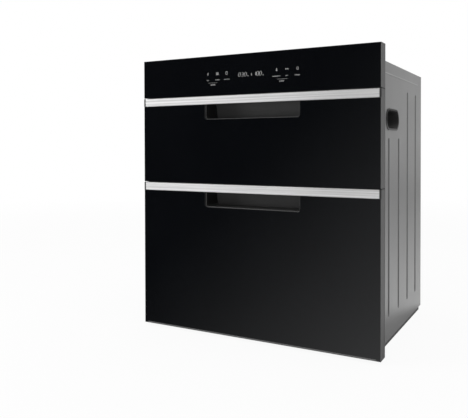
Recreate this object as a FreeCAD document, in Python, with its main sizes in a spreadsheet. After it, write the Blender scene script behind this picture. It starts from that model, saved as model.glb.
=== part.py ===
import FreeCAD, Part
import math
import os

import Sketcher

V = FreeCAD.Vector
doc = FreeCAD.newDocument("dish_sterilizer_cabinet")

# Driving dimensions in millimetres: name, size, what it measures.
DRIVING = [
    ("overall_deep", 470, "glass face to rear screw heads"),
    ("front_wide", 595, "front panel width"),
    ("front_tall", 650, "front panel height"),
    ("body_wide", 560, "width over the lid's side flanges"),
    ("body_tall", 626.6, "pan underside to lid top"),
    ("foot_tall", 5, "rubber foot height"),
    ("foot_radius", 15, "rubber foot radius"),
    ("foot_inset", 40, "foot centre in from the body's sides"),
    ("front_lift", 2, "front panel's lower edge above the pan's underside"),
    ("sheet", 0.8, "casing sheet"),
    ("slack", 0.3, "clearance between loose faces"),
    ("glass_thick", 4, "front glass"),
    ("frame_deep", 24, "drawer front frame"),
    ("frame_sheet", 1.2, "drawer front frame sheet"),
    ("frame_lip", 12, "lip turned in at the frame's back"),
    ("front_gap", 1.5, "gap between neighbouring fronts"),
    ("control_tall", 91.5, "control panel height"),
    ("upper_front_tall", 204.5, "upper drawer front height"),
    ("strip_tall", 19.2, "brushed handle strip height"),
    ("strip_inset", 3.5, "end cap width at each strip end"),
    ("recess_wide", 240, "finger recess width"),
    ("recess_tall", 35, "finger recess height below the strip"),
    ("recess_deep", 50, "glass face to the recess's back, at its top"),
    ("recess_slope", 8, "further depth at the recess's floor"),
    ("recess_radius", 6, "recess corner rounds"),
    ("recess_rim", 1, "frame edge showing inside the glass cut-out"),
    ("recess_rise", 5, "recess height behind the strip"),
    ("cup_wall", 2, "finger cup wall"),
    ("cup_flange", 8, "finger cup flange width"),
    ("seal_thick", 1.4, "drawer seal thickness"),
    ("seal_wide", 8, "drawer seal width"),
    ("flange_sheet", 1.5, "front flange of the body"),
    ("mount_radius", 2.25, "cabinet screw hole radius"),
    ("mount_inset", 8.5, "cabinet screw holes in from the flange's sides"),
    ("mount_low", 120, "lower cabinet screws above the flange's lower edge"),
    ("mount_rise", 340, "upper cabinet screws above the lower ones"),
    ("chamber_wide", 500, "both chambers' inner width"),
    ("chamber_deep", 372, "both chambers' inner depth"),
    ("upper_sill", 13.5, "upper chamber floor above its front's lower edge"),
    ("lower_sill", 20, "lower chamber floor above its front's lower edge"),
    ("chamber_head", 11, "chamber ceiling below its front's upper edge"),
    ("liner_sheet", 0.6, "chamber liner sheet"),
    ("liner_flange", 12, "liner flange around the opening"),
    ("lid_flange", 26, "lid's side flange height"),
    ("lid_short", 44, "lid's side flange ends before the rear"),
    ("turn", 12, "turned edge of a casing sheet"),
    ("skirt_lift", 7.8, "side panel's lower edge above the pan's underside"),
    ("pan_wall", 25, "base pan's side wall height"),
    ("pan_short", 19.6, "base pan ends before the back panel"),
    ("groove_wide", 11, "pressed groove width"),
    ("groove_deep", 2.5, "pressed groove depth"),
    ("groove_pitch", 89.3, "pitch of the pressed grooves"),
    ("groove_first", 100, "first groove behind the flange"),
    ("groove_low", 59, "groove foot above the pan's underside"),
    ("groove_tall", 514, "height of a long groove"),
    ("handle_wide", 111, "carry handle rim length"),
    ("handle_tall", 48, "carry handle rim height"),
    ("handle_deep", 24, "carry handle depth"),
    ("handle_back", 130.25, "carry handle centre behind the flange"),
    ("handle_up", 500.9, "carry handle centre above the pan's underside"),
    ("handle_rim", 1.5, "carry handle rim thickness"),
    ("handle_wall", 1.8, "carry handle wall"),
    ("slide_long", 350, "drawer slide length"),
    ("slide_tall", 45, "drawer slide height"),
    ("slide_thick", 12.7, "drawer slide thickness"),
    ("slide_sheet", 1.2, "drawer slide sheet"),
    ("slide_run", 0.4, "running gap in a drawer slide"),
    ("slide_lift", 30, "drawer slide centre above the chamber's floor"),
    ("side_long", 330, "drawer side plate length"),
    ("ledge", 16, "ledge under the basket"),
    ("wire", 4, "basket wire thickness"),
    ("rim_wire", 5.5, "basket rim wire thickness"),
    ("wire_pitch", 30, "basket wire pitch"),
    ("basket_back", 12, "basket behind the drawer front"),
    ("upper_basket_tall", 105, "upper basket height"),
    ("lower_basket_tall", 120, "lower basket height"),
    ("rack_tall", 90, "plate divider height over the lower basket's floor"),
    ("lamp_radius", 7.75, "ultraviolet tube radius"),
    ("lamp_long", 288, "ultraviolet tube length"),
    ("heater_radius", 5, "quartz heating tube radius"),
    ("heater_long", 380, "quartz heating tube length"),
    ("heater_low", 80, "lower heating tube above the chamber's floor"),
    ("heater_rise", 110, "upper heating tube above the lower one"),
    ("fan_radius", 38, "fan impeller radius"),
    ("fan_deep", 16, "fan impeller depth"),
    ("shaft_radius", 2, "fan shaft radius"),
    ("fan_run", 6, "gap between impeller and housing"),
    ("screw_radius", 2, "casing screw radius"),
    ("screw_head", 4, "casing screw head radius"),
    ("head_tall", 1.6, "casing screw head height"),
    ("screw_slack", 0.1, "screw hole radius over the screw's"),
    ("screw_long", 5.2, "casing screw beyond the sheet it holds"),
    ("screw_end", 30, "side screws in from the side panel's ends"),
    ("groove_slope", 1.5, "slope of a pressed groove's sides"),
    ("groove_clear", 18.5, "short groove's head below the carry handle"),
    ("vent_down", 110, "lowest vent slot below the lid"),
    ("vent_pitch", 9, "vent slot pitch"),
    ("vent_tall", 4, "vent slot height"),
    ("vent_long", 90, "vent slot length"),
    ("inlet_radius", 9, "mains inlet hole radius"),
    ("inlet_bore", 4.5, "mains inlet bushing bore radius"),
    ("inlet_in", 40, "mains inlet in from the chamber's side"),
    ("inlet_up", 60, "mains inlet above the back panel's lower edge"),
    ("collar_wide", 3, "bushing collar over its sleeve"),
    ("sleeve_long", 10, "bushing sleeve inside the back panel"),
    ("wiring_wide", 80, "wiring window in the front flange"),
    ("wiring_foot", 20, "wiring window above the control panel's lower edge"),
    ("wiring_head", 10, "wiring window below the lid"),
    ("rail_start", 2, "slides behind the front flange"),
    ("inlet_hole", 4, "fan inlet hole radius"),
    ("inlet_ring", 17.1, "fan inlet hole ring radius"),
    ("outlet_pitch", 12, "warm air slot pitch"),
    ("outlet_wide", 6, "warm air slot width"),
    ("outlet_tall", 12, "warm air slot height"),
    ("outlet_down", 8, "warm air slots below the fan housing's top"),
    ("board_back", 20, "insulation behind the front flange"),
    ("board_clear", 1, "insulation to the side panel's ridges"),
    ("lamp_back", 20, "ultraviolet tube before the rear wall"),
    ("lamp_down", 24, "ultraviolet tube below the ceiling"),
    ("socket_grip", 10, "socket over the tube's end"),
    ("socket_end", 6, "socket past the tube's end"),
    ("socket_half", 12, "half of a socket's height"),
    ("socket_front", 11, "socket before the tube's axis"),
    ("bore_slack", 0.1, "socket bore radius over the tube's"),
    ("guard_past", 20, "guard past the tube's ends and before it"),
    ("guard_foot", 10, "guard's turned foot"),
    ("guard_slot", 6, "guard slot width and margin"),
    ("lamp_guard_pitch", 12, "lamp guard slot pitch"),
    ("lamp_guard_half", 20, "half of the lamp guard's height"),
    ("heater_guard_pitch", 14, "heater guard slot pitch"),
    ("heater_guard_past", 30, "heater guard above and below the tubes"),
    ("heater_back", 22, "heating tubes before the rear wall"),
    ("ceramic_grip", 15, "ceramic holder over the tube's end"),
    ("ozone_wide", 60, "ozone generator width"),
    ("ozone_deep", 50, "ozone generator depth"),
    ("ozone_tall", 24, "ozone generator height"),
    ("nozzle_radius", 3, "ozone nozzle radius"),
    ("nozzle_slack", 0.2, "nozzle hole radius over the nozzle's"),
    ("nozzle_out", 1, "ozone nozzle below the ceiling"),
    ("housing_gap", 12, "fan housing wall to the impeller's sweep"),
    ("housing_wall", 1, "fan housing wall"),
    ("shaft_hole", 2, "housing hole radius over the shaft's"),
    ("motor_radius", 24, "fan motor radius"),
    ("motor_long", 22, "fan motor length"),
    ("bearing_slack", 0.05, "bearing radius over the shaft's"),
    ("bearing_deep", 16, "bearing depth"),
    ("hub_radius", 8, "impeller hub radius"),
    ("plate_thick", 1.5, "impeller plate"),
    ("blade_long", 15, "impeller blade length"),
    ("blade_thick", 1.4, "impeller blade thickness"),
    ("ptc_tall", 8, "warm air element height"),
    ("ptc_in", 8, "warm air element in from the housing's sides"),
    ("ptc_front", 2, "warm air element behind the chamber's rear wall"),
    ("ptc_back", 3, "warm air element to the housing's back"),
    ("mains_wide", 160, "mains board width"),
    ("mains_deep", 120, "mains board depth"),
    ("mains_back", 150, "mains board behind the front flange"),
    ("board_thick", 1.6, "circuit board thickness"),
    ("post_tall", 8, "mains board above the chamber's ceiling"),
    ("post_in", 6, "board posts in from the board's edges"),
    ("post_radius", 3, "board post radius"),
    ("coil_wide", 45, "transformer width"),
    ("coil_deep", 38, "transformer depth"),
    ("coil_tall", 28.4, "transformer height"),
    ("coil_in", 20, "transformer in from the board's front and side"),
    ("relay_wide", 16, "relay width"),
    ("relay_deep", 20, "relay depth"),
    ("relay_tall", 16.4, "relay height"),
    ("relay_pitch", 24, "relay pitch"),
    ("relay_back", 70, "relays behind the board's front edge"),
    ("magnet_in", 50, "magnet and switch in from the chamber's side"),
    ("magnet_wide", 12, "magnet width"),
    ("magnet_tall", 8, "magnet height"),
    ("magnet_deep", 5, "magnet depth"),
    ("magnet_lift", 3, "magnet to the drawer frame's lip"),
    ("reed_wide", 14, "door switch width"),
    ("reed_size", 6, "door switch height and depth"),
    ("reed_gap", 3, "door switch to the chamber"),
    ("disc_radius", 8, "thermostat radius"),
    ("disc_deep", 9, "thermostat depth"),
    ("disc_across", 150, "thermostats right of the middle"),
    ("key_up", 49, "keys above the control panel's lower edge"),
    ("key_inner", 63.5, "innermost keys from the middle"),
    ("key_pitch", 25.3, "key pitch"),
    ("key_radius", 4, "key spring radius"),
    ("window_past", 15, "control frame's window past the outer keys"),
    ("window_half", 18, "half of the control frame's window height"),
    ("key_post_past", 6, "key board posts past the window"),
    ("key_post_up", 4, "key board posts above and below the window"),
    ("key_post_tall", 7, "key board post height"),
    ("key_board_past", 5, "key board past its posts"),
    ("digits_wide", 80, "display width"),
    ("digits_tall", 20, "display height"),
    ("digits_across", 2, "display's middle right of the panel's"),
    ("digits_down", 3, "display's middle below the keys"),
    ("glass_bevel", 0.6, "bevel round the glass"),
    ("strip_bevel", 0.5, "bevel round the handle strip"),
    ("strip_bed", 0.8, "hollow behind the handle strip"),
    ("strip_rim", 6, "handle strip's solid rim round the hollow"),
    ("panel_in", 2, "drawer's inner panel in from the front's edges"),
    ("seal_lap", 1, "drawer seal's inner edge past the chamber's"),
    ("flange_thick", 1.5, "finger cup flange thickness"),
]


class Size:
    # A length: its expression on the sheet, and its present value.
    def __init__(self, text, value):
        self.text = text
        self.value = value

    def __add__(self, other):
        other = size(other)
        return Size(f"({self.text} + {other.text})", self.value + other.value)

    def __sub__(self, other):
        other = size(other)
        return Size(f"({self.text} - {other.text})", self.value - other.value)

    def __mul__(self, factor):
        return Size(f"({self.text} * {factor})", self.value * factor)

    def __truediv__(self, factor):
        return Size(f"({self.text} / {factor})", self.value / factor)

    def __neg__(self):
        return Size(f"(-{self.text})", -self.value)

    def __radd__(self, other):
        return size(other) + self

    def __rsub__(self, other):
        return size(other) - self

    __rmul__ = __mul__


def size(value):
    if isinstance(value, Size):
        return value
    return Size(f"({float(value):g})", float(value))


class Dims:
    pass


def driving_sheet():
    # One row per driving dimension, its alias on the number's cell.
    sheet = doc.addObject("Spreadsheet::Sheet", "dims")
    dims = Dims()
    for row, (alias, value, note) in enumerate(DRIVING, start=1):
        sheet.set(f"A{row}", note)
        sheet.set(f"B{row}", str(value))
        sheet.setAlias(f"B{row}", alias)
    doc.recompute()
    for alias, value, note in DRIVING:
        setattr(dims, alias, Size("dims." + alias, float(sheet.get(alias))))
    return dims


d = driving_sheet()
NODES = []


def node(piece, label):
    piece.Label = label
    NODES.append(piece)
    return piece


def bind(target, name, value):
    target.setExpression(name, size(value).text)


def ordered(first, second):
    # The same two places, lower one first.
    pair = (size(first), size(second))
    return pair if pair[0].value <= pair[1].value else pair[::-1]


# Sketches: a loop is a list of corners (across, up) or (across, up, round),
# whose rounded corners stand between level and upright edges, or a circle.


def toward(start, end):
    # Signs of a level or upright edge's direction.
    across = end[0].value - start[0].value
    up = end[1].value - start[1].value
    if abs(across) > abs(up):
        return math.copysign(1, across), 0.0
    return 0.0, math.copysign(1, up)


def loop_edges(corners):
    corners = [tuple(size(value) for value in corner) for corner in corners]
    edges = []
    total = len(corners)
    starts = []
    for index, corner in enumerate(corners):
        if len(corner) == 2:
            starts.append((corner, corner, None))
            continue
        radius = corner[2]
        back = toward(corner, corners[index - 1])
        ahead = toward(corner, corners[(index + 1) % total])
        entry = (corner[0] + radius * back[0], corner[1] + radius * back[1])
        leave = (corner[0] + radius * ahead[0], corner[1] + radius * ahead[1])
        centre = (entry[0] + radius * ahead[0], entry[1] + radius * ahead[1])
        starts.append((entry, leave, (centre, radius)))
    for index, (entry, leave, rounding) in enumerate(starts):
        if rounding:
            edges.append((entry, leave, rounding))
        edges.append((leave, starts[(index + 1) % total][0], None))
    return edges


def angle_about(centre, point):
    return math.atan2(point[1].value - centre[1].value, point[0].value - centre[0].value)


class Rules:
    # A sketch's constraints, added together and then tied to the sheet.
    def __init__(self, sketch):
        self.sketch = sketch
        self.found = []
        self.texts = []

    def add(self, rule, text=None):
        self.found.append(rule)
        self.texts.append(text)

    def point(self, edge, position, place):
        for kind, value in zip(("DistanceX", "DistanceY"), place):
            self.add(Sketcher.Constraint(kind, edge, position, value.value), value.text)

    def radius(self, edge, value):
        self.add(Sketcher.Constraint("Radius", edge, value.value), value.text)

    def finish(self):
        self.sketch.addConstraint(self.found)
        for index, text in enumerate(self.texts):
            if text:
                self.sketch.setExpression(f"Constraints[{index}]", text)


def draw_loop(sketch, rules, corners):
    ends = []
    for start, end, rounding in loop_edges(corners):
        if rounding is None:
            first = V(start[0].value, start[1].value, 0)
            last = V(end[0].value, end[1].value, 0)
            edge = sketch.addGeometry(Part.LineSegment(first, last))
            ends.append((edge, 1, 2))
            rules.point(edge, 1, start)
            continue
        centre, radius = rounding
        begin = angle_about(centre, start)
        finish = angle_about(centre, end)
        turning_left = (finish - begin) % (2 * math.pi) < math.pi
        low, high = (begin, finish) if turning_left else (finish, begin)
        middle = V(centre[0].value, centre[1].value, 0)
        circle = Part.Circle(middle, V(0, 0, 1), radius.value)
        edge = sketch.addGeometry(Part.ArcOfCircle(circle, low, high))
        near, far = (1, 2) if turning_left else (2, 1)
        ends.append((edge, near, far))
        rules.point(edge, near, start)
        rules.radius(edge, radius)
    for index, (edge, near, far) in enumerate(ends):
        follower = ends[(index + 1) % len(ends)]
        rules.add(Sketcher.Constraint("Coincident", edge, far, follower[0], follower[1]))


class Circle:
    def __init__(self, across, up, radius):
        self.centre = (size(across), size(up))
        self.radius = size(radius)


def draw_circle(sketch, rules, circle):
    middle = V(circle.centre[0].value, circle.centre[1].value, 0)
    edge = sketch.addGeometry(Part.Circle(middle, V(0, 0, 1), circle.radius.value))
    rules.point(edge, 3, circle.centre)
    rules.radius(edge, circle.radius)


def rectangle(across, up, radius=None):
    low, high = ordered(*across)
    foot, head = ordered(*up)
    corners = [(low, foot), (high, foot), (high, head), (low, head)]
    if radius is not None:
        corners = [corner + (radius,) for corner in corners]
    return corners


def slot(across, up):
    # A rectangle whose short sides are all but half round.
    wide = abs(across[1].value - across[0].value)
    tall = abs(up[1].value - up[0].value)
    short = ordered(*across) if wide < tall else ordered(*up)
    return rectangle(across, up, (short[1] - short[0]) / 2 * ROUND_SHARE)


ROUND_SHARE = 0.98


PLANES = {"x": "YZ_Plane", "y": "XZ_Plane", "z": "XY_Plane"}


def new_body(name):
    return doc.addObject("PartDesign::Body", name)


def prism(body, axis, loops, places, cut=False):
    # Adds to the body, or cuts from it, the loops' area between two places on an axis.
    low, high = ordered(*places)
    name = body.Name + ("_cut" if cut else "_pad")
    sketch = body.newObject("Sketcher::SketchObject", body.Name + "_sketch")
    role = PLANES[axis]
    plane = [item for item in body.Origin.OriginFeatures if item.Role == role][0]
    sketch.AttachmentSupport = [(plane, "")]
    sketch.MapMode = "FlatFace"
    bind(sketch, "AttachmentOffset.Base.z", -high if axis == "y" else low)
    rules = Rules(sketch)
    for loop in loops:
        if isinstance(loop, Circle):
            draw_circle(sketch, rules, loop)
        else:
            draw_loop(sketch, rules, loop)
    rules.finish()
    before = body.Shape.Volume if cut else 0
    kind = "PartDesign::Pocket" if cut else "PartDesign::Pad"
    feature = body.newObject(kind, name)
    feature.Profile = sketch
    bind(feature, "Length", high - low)
    feature.Reversed = cut
    doc.recompute()
    if cut and not body.Shape.Volume < before - 1e-3:
        raise RuntimeError(f"{feature.Name} cuts nothing")
    return feature


def pocket(body, axis, loops, places):
    return prism(body, axis, loops, places, cut=True)


def pattern(body, axis, pitch, count):
    # Repeats the body's last feature along an axis.
    role = axis.upper() + "_Axis"
    line = [item for item in body.Origin.OriginFeatures if item.Role == role][0]
    original = body.Tip
    feature = body.newObject("PartDesign::LinearPattern", body.Name + "_row")
    feature.Originals = [original]
    feature.Direction = (line, [""])
    bind(feature, "Length", size(pitch) * (count - 1))
    feature.Occurrences = count
    body.Tip = feature
    doc.recompute()
    return feature


def edges_where(shape, test):
    # Names of the edges whose middle point and direction pass the test.
    names = []
    for index, edge in enumerate(shape.Edges, start=1):
        middle = edge.valueAt((edge.FirstParameter + edge.LastParameter) / 2)
        line = edge.Vertexes[-1].Point - edge.Vertexes[0].Point
        if test(middle, line):
            names.append(f"Edge{index}")
    return names


def round_edges(body, radius, test, kind="PartDesign::Fillet"):
    last = body.Tip
    names = edges_where(last.Shape, test)
    if not names:
        raise RuntimeError(f"{body.Name} has no such edge")
    feature = body.newObject(kind, body.Name + "_round")
    feature.Base = (last, names)
    bind(feature, "Radius" if kind.endswith("Fillet") else "Size", radius)
    doc.recompute()
    return feature


# Part primitives and booleans.


def block(name, across, along, up):
    box = doc.addObject("Part::Box", name)
    for axis, side, places in zip("xyz", ("Length", "Width", "Height"), (across, along, up)):
        low, high = ordered(*places)
        bind(box, side, high - low)
        bind(box, "Placement.Base." + axis, low)
    return box


AXES = {"x": V(1, 0, 0), "y": V(0, 1, 0), "z": V(0, 0, 1)}


def rod(name, axis, middle, places, radius):
    # A cylinder along an axis; middle holds its two other coordinates in x, y, z order.
    low, high = ordered(*places)
    cylinder = doc.addObject("Part::Cylinder", name)
    cylinder.Placement.Rotation = FreeCAD.Rotation(V(0, 0, 1), AXES[axis])
    bind(cylinder, "Radius", radius)
    bind(cylinder, "Height", high - low)
    others = iter(middle)
    for letter in "xyz":
        place = low if letter == axis else next(others)
        bind(cylinder, "Placement.Base." + letter, place)
    return cylinder


def join(name, pieces):
    fusion = doc.addObject("Part::MultiFuse", name)
    fusion.Shapes = pieces
    fusion.Refine = True
    return fusion


def group(name, pieces):
    compound = doc.addObject("Part::Compound", name)
    compound.Links = pieces
    return compound


def cut(name, base, tools):
    result = doc.addObject("Part::Cut", name)
    result.Base = base
    result.Tool = tools[0] if len(tools) == 1 else group(name + "_tools", tools)
    return result


# Shared places. X runs left to right, Y front to back, Z up from the floor.

X_FRONT = d.front_wide / 2
X_LID = d.body_wide / 2
X_SIDE = X_LID - d.sheet
X_CASE = X_SIDE - d.sheet
X_CHAMBER = d.chamber_wide / 2
X_LINER = X_CHAMBER + d.liner_sheet
X_SLIDE = X_CHAMBER - d.slide_thick
X_STRIP = X_FRONT - d.strip_inset

Y_FACE = -d.overall_deep / 2
Y_GLASS = Y_FACE + d.glass_thick
Y_PLATE = Y_GLASS + d.frame_sheet
Y_FRAME = Y_GLASS + d.frame_deep
Y_INNER = Y_FRAME + d.liner_sheet
Y_SEAL = Y_INNER + d.seal_thick
Y_FLANGE = Y_SEAL + d.slack
Y_BODY = Y_FLANGE + d.flange_sheet
Y_CHAMBER = Y_BODY + d.chamber_deep
Y_LINER = Y_CHAMBER + d.liner_sheet
Y_HEADS = d.overall_deep / 2
Y_BACK_OUT = Y_HEADS - d.head_tall
Y_BACK = Y_BACK_OUT - d.sheet
Y_RAILS = Y_BODY + d.rail_start

Z_PAN = d.foot_tall
Z_FLOOR = Z_PAN + d.sheet
Z_FRONT = Z_PAN + d.front_lift
Z_SKIRT = Z_PAN + d.skirt_lift
Z_TOP = Z_PAN + d.body_tall
Z_LID = Z_TOP - d.sheet
Z_FRONT_TOP = Z_FRONT + d.front_tall
Z_CONTROL = Z_FRONT_TOP - d.control_tall


class Bay:
    # One drawer's front, chamber and slide heights.
    def __init__(self, name, foot, head, sill, basket_tall):
        self.name = name
        self.foot = foot
        self.head = head
        self.floor = foot + sill
        self.ceiling = head - d.chamber_head
        self.strip = head - d.strip_tall
        self.recess = self.strip - d.recess_tall
        self.slide = self.floor + d.slide_lift
        self.ledge = self.slide - d.slide_tall / 2
        self.basket = self.ledge + d.slide_sheet
        self.basket_top = self.basket + basket_tall


UPPER_HEAD = Z_CONTROL - d.front_gap
UPPER_FOOT = UPPER_HEAD - d.upper_front_tall
LOWER_HEAD = UPPER_FOOT - d.front_gap
UPPER = Bay("upper", UPPER_FOOT, UPPER_HEAD, d.upper_sill, d.upper_basket_tall)
LOWER = Bay("lower", Z_FRONT, LOWER_HEAD, d.lower_sill, d.lower_basket_tall)


# Casing.


def side_panel(side, label):
    # Pressed sheet side with four upright grooves, turned edges and the handle's hole.
    body = new_body(label)
    inner = X_CASE * side
    outer = X_SIDE * side
    bottom = outer - d.groove_deep * side
    tall = (Z_SKIRT, Z_LID)
    along = (Y_BODY, Y_BACK)
    prism(body, "x", [rectangle(along, tall)], (inner, outer))
    grooves = []
    ridges = []
    foot = Z_PAN + d.groove_low
    skin = d.sheet + d.groove_slope
    for index in range(GROOVES):
        middle = Y_BODY + d.groove_first + d.groove_pitch * index
        head = foot + d.groove_tall
        if index < SHORT_GROOVES:
            head = HANDLE_LOW - d.groove_clear
        half = d.groove_wide / 2
        grooves.append(slot((middle - half, middle + half), (foot, head)))
        half = half + skin
        ridges.append(slot((middle - half, middle + half), (foot - skin, head + skin)))
    prism(body, "x", ridges, (bottom - d.sheet * side, inner))
    slope_edges(body, (bottom - d.sheet * side).value)
    pocket(body, "x", grooves, (bottom, outer))
    slope_edges(body, outer.value)
    edge = inner - d.turn * side
    level = [rectangle((edge, inner), tall)]
    prism(body, "y", level, (Y_BODY, Y_BODY + d.sheet))
    prism(body, "y", level, (Y_BACK - d.sheet, Y_BACK))
    half_long = d.handle_wide / 2 - d.handle_wall
    half_tall = d.handle_tall / 2 - d.handle_wall
    across = (HANDLE_MIDDLE - half_long, HANDLE_MIDDLE + half_long)
    hole = slot(across, (HANDLE_HEIGHT - half_tall, HANDLE_HEIGHT + half_tall))
    pocket(body, "x", [hole], (inner, outer))
    radius = d.screw_radius + d.screw_slack
    holes = [Circle(X_SCREW * side, height, radius) for height in SIDE_SCREWS]
    pocket(body, "y", holes, (Y_BACK - d.sheet, Y_BACK))
    node(body, label)


def slope_edges(body, place):
    # Slopes the grooves' edges that lie in one upright plane, clear of the panel's own edges.
    low = Y_BODY.value + NEAR
    high = Y_BACK.value - NEAR

    def on_groove(middle, line):
        level = abs(middle.x - place) < NEAR and low < middle.y < high
        return level and Z_SKIRT.value + NEAR < middle.z < Z_LID.value - NEAR

    round_edges(body, d.groove_slope, on_groove, "PartDesign::Chamfer")


NEAR = 0.1
GROOVES = 4
SHORT_GROOVES = 2
HANDLE_MIDDLE = Y_BODY + d.handle_back
HANDLE_HEIGHT = Z_PAN + d.handle_up
HANDLE_LOW = HANDLE_HEIGHT - d.handle_tall / 2
X_SCREW = X_CASE - d.turn / 2
SIDE_SCREWS = [Z_SKIRT + d.screw_end, (Z_SKIRT + Z_LID) / 2, Z_LID - d.screw_end]


def carry_handle(side, label):
    # Moulded cup for the fingers, its rim against the side panel.
    body = new_body(label)
    outer = X_SIDE * side
    rim = outer + d.handle_rim * side
    deep = outer - d.handle_deep * side

    def outline(shrink):
        half_long = d.handle_wide / 2 - shrink
        half_tall = d.handle_tall / 2 - shrink
        across = (HANDLE_MIDDLE - half_long, HANDLE_MIDDLE + half_long)
        return slot(across, (HANDLE_HEIGHT - half_tall, HANDLE_HEIGHT + half_tall))

    skin = d.handle_wall + d.slack
    prism(body, "x", [outline(0)], (outer, rim))
    prism(body, "x", [outline(skin)], (deep, outer))
    pocket(body, "x", [outline(skin + d.handle_wall)], (deep + d.handle_wall * side, rim))
    node(body, label)


def top_cover():
    # Lid sheet with side flanges outside the side panels and a rear one inside the back.
    body = new_body("top_cover")
    plan = [rectangle((-X_LID, X_LID), (Y_BODY, Y_BACK))]
    prism(body, "z", plan, (Z_LID, Z_TOP))
    end = Y_BACK - d.lid_short
    for side in (-1, 1):
        strip = [rectangle((Y_BODY, end), (Z_TOP - d.lid_flange, Z_TOP))]
        prism(body, "x", strip, (X_SIDE * side, X_LID * side))
    reach = X_CASE - d.turn - d.slack
    rear = [rectangle((-reach, reach), (Z_LID - d.turn * 2, Z_LID))]
    prism(body, "y", rear, (Y_BACK - d.sheet, Y_BACK))
    radius = d.screw_radius + d.screw_slack
    holes = [Circle(place, Z_LID - d.turn, radius) for place in LID_SCREWS]
    pocket(body, "y", holes, (Y_BACK - d.sheet, Y_BACK))
    node(body, "top_cover")


LID_SCREWS = [-X_CHAMBER / 2, X_CHAMBER / 2]


def base_pan():
    # Floor tray inside the side panels.
    body = new_body("base_pan")
    end = Y_BACK - d.pan_short
    plan = [rectangle((-X_CASE, X_CASE), (Y_BODY, end))]
    prism(body, "z", plan, (Z_PAN, Z_FLOOR))
    for side in (-1, 1):
        wall = [rectangle((X_CASE * side, (X_CASE - d.sheet) * side), (Y_BODY + d.sheet, end))]
        prism(body, "z", wall, (Z_PAN, Z_PAN + d.pan_wall))
    low = [rectangle((-X_CASE, X_CASE), (Z_PAN, Z_SKIRT - d.slack))]
    prism(body, "y", low, (Y_BODY, Y_BODY + d.sheet))
    rear = [rectangle((-X_CASE, X_CASE), (Z_PAN, Z_SKIRT))]
    prism(body, "y", rear, (end - d.sheet, end))
    node(body, "base_pan")


def back_panel():
    # Louvred rear sheet, its lower edge turned in over the pan.
    body = new_body("back_panel")
    face = [rectangle((-X_SIDE, X_SIDE), (Z_SKIRT, Z_LID))]
    prism(body, "y", face, (Y_BACK, Y_BACK_OUT))
    reach = X_CASE - d.turn - d.slack
    foot = Y_BACK - d.pan_short - d.turn
    plan = [rectangle((-reach, reach), (foot, Y_BACK))]
    prism(body, "z", plan, (Z_SKIRT, Z_SKIRT + d.sheet))
    slots = []
    for middle in (-VENT_ACROSS, VENT_ACROSS):
        across = (middle - d.vent_long / 2, middle + d.vent_long / 2)
        slots.append(slot(across, (VENT_LOW, VENT_LOW + d.vent_tall)))
    pocket(body, "y", slots, (Y_BACK, Y_BACK_OUT))
    pattern(body, "z", d.vent_pitch, VENTS)
    radius = d.screw_radius + d.screw_slack
    holes = [Circle(place, Z_LID - d.turn, radius) for place in LID_SCREWS]
    for side in (-1, 1):
        for height in SIDE_SCREWS:
            holes.append(Circle(X_SCREW * side, height, radius))
    holes.append(Circle(CORD_ACROSS, CORD_UP, d.inlet_radius))
    pocket(body, "y", holes, (Y_BACK, Y_BACK_OUT))
    node(body, "back_panel")


VENTS = 8
VENT_LOW = Z_LID - d.vent_down
VENT_ACROSS = X_CHAMBER / 2
CORD_ACROSS = -X_CHAMBER + d.inlet_in
CORD_UP = Z_SKIRT + d.inlet_up


def cord_bushing():
    # Collar and sleeve round the mains inlet.
    place = (CORD_ACROSS, CORD_UP)
    inner = Y_BACK - d.sleeve_long
    radius = d.inlet_radius - d.screw_slack
    sleeve = rod("bushing_sleeve", "y", place, (inner, Y_BACK_OUT), radius)
    collar_radius = d.inlet_radius + d.collar_wide
    collar = rod("bushing_collar", "y", place, (Y_BACK_OUT, Y_HEADS), collar_radius)
    bore = rod("bushing_bore", "y", place, (inner - PAST, Y_HEADS + PAST), d.inlet_bore)
    node(cut("cord_bushing", join("bushing", [sleeve, collar]), [bore]), "cord_bushing")


PAST = 1


def back_screws():
    places = [(place, Z_LID - d.turn) for place in LID_SCREWS]
    places += [(X_SCREW * side, height) for side in (-1, 1) for height in SIDE_SCREWS]
    screws = []
    for place in places:
        head = rod("screw_head", "y", place, (Y_BACK_OUT, Y_HEADS), d.screw_head)
        tip = Y_BACK - d.sheet - d.screw_long
        shank = rod("screw_shank", "y", place, (tip, Y_BACK_OUT), d.screw_radius)
        screws.append(join("screw", [head, shank]))
    node(group("back_screws", screws), "back_screws")


def rubber_feet():
    feet = []
    for across in (-X_CASE + d.foot_inset, X_CASE - d.foot_inset):
        for along in (Y_BODY + d.foot_inset, Y_BACK - d.pan_short - d.foot_inset):
            feet.append(rod("foot", "z", (across, along), (0, Z_PAN), d.foot_radius))
    node(group("rubber_feet", feet), "rubber_feet")


def front_flange():
    # Sheet frame behind the fronts, with both openings and the cabinet screw holes.
    body = new_body("front_flange")
    loops = [rectangle((-X_FRONT, X_FRONT), (Z_FRONT, Z_FRONT_TOP))]
    for bay in (UPPER, LOWER):
        loops.append(rectangle((-X_CHAMBER, X_CHAMBER), (bay.floor, bay.ceiling)))
    half = d.wiring_wide / 2
    up = (Z_CONTROL + d.wiring_foot, Z_LID - d.wiring_head)
    loops.append(rectangle((-half, half), up))
    for side in (-1, 1):
        for height in (MOUNT_LOW, MOUNT_LOW + d.mount_rise):
            loops.append(Circle((X_FRONT - d.mount_inset) * side, height, d.mount_radius))
    prism(body, "y", loops, (Y_FLANGE, Y_BODY))
    node(body, "front_flange")


MOUNT_LOW = Z_FRONT + d.mount_low


# Chambers.


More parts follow.
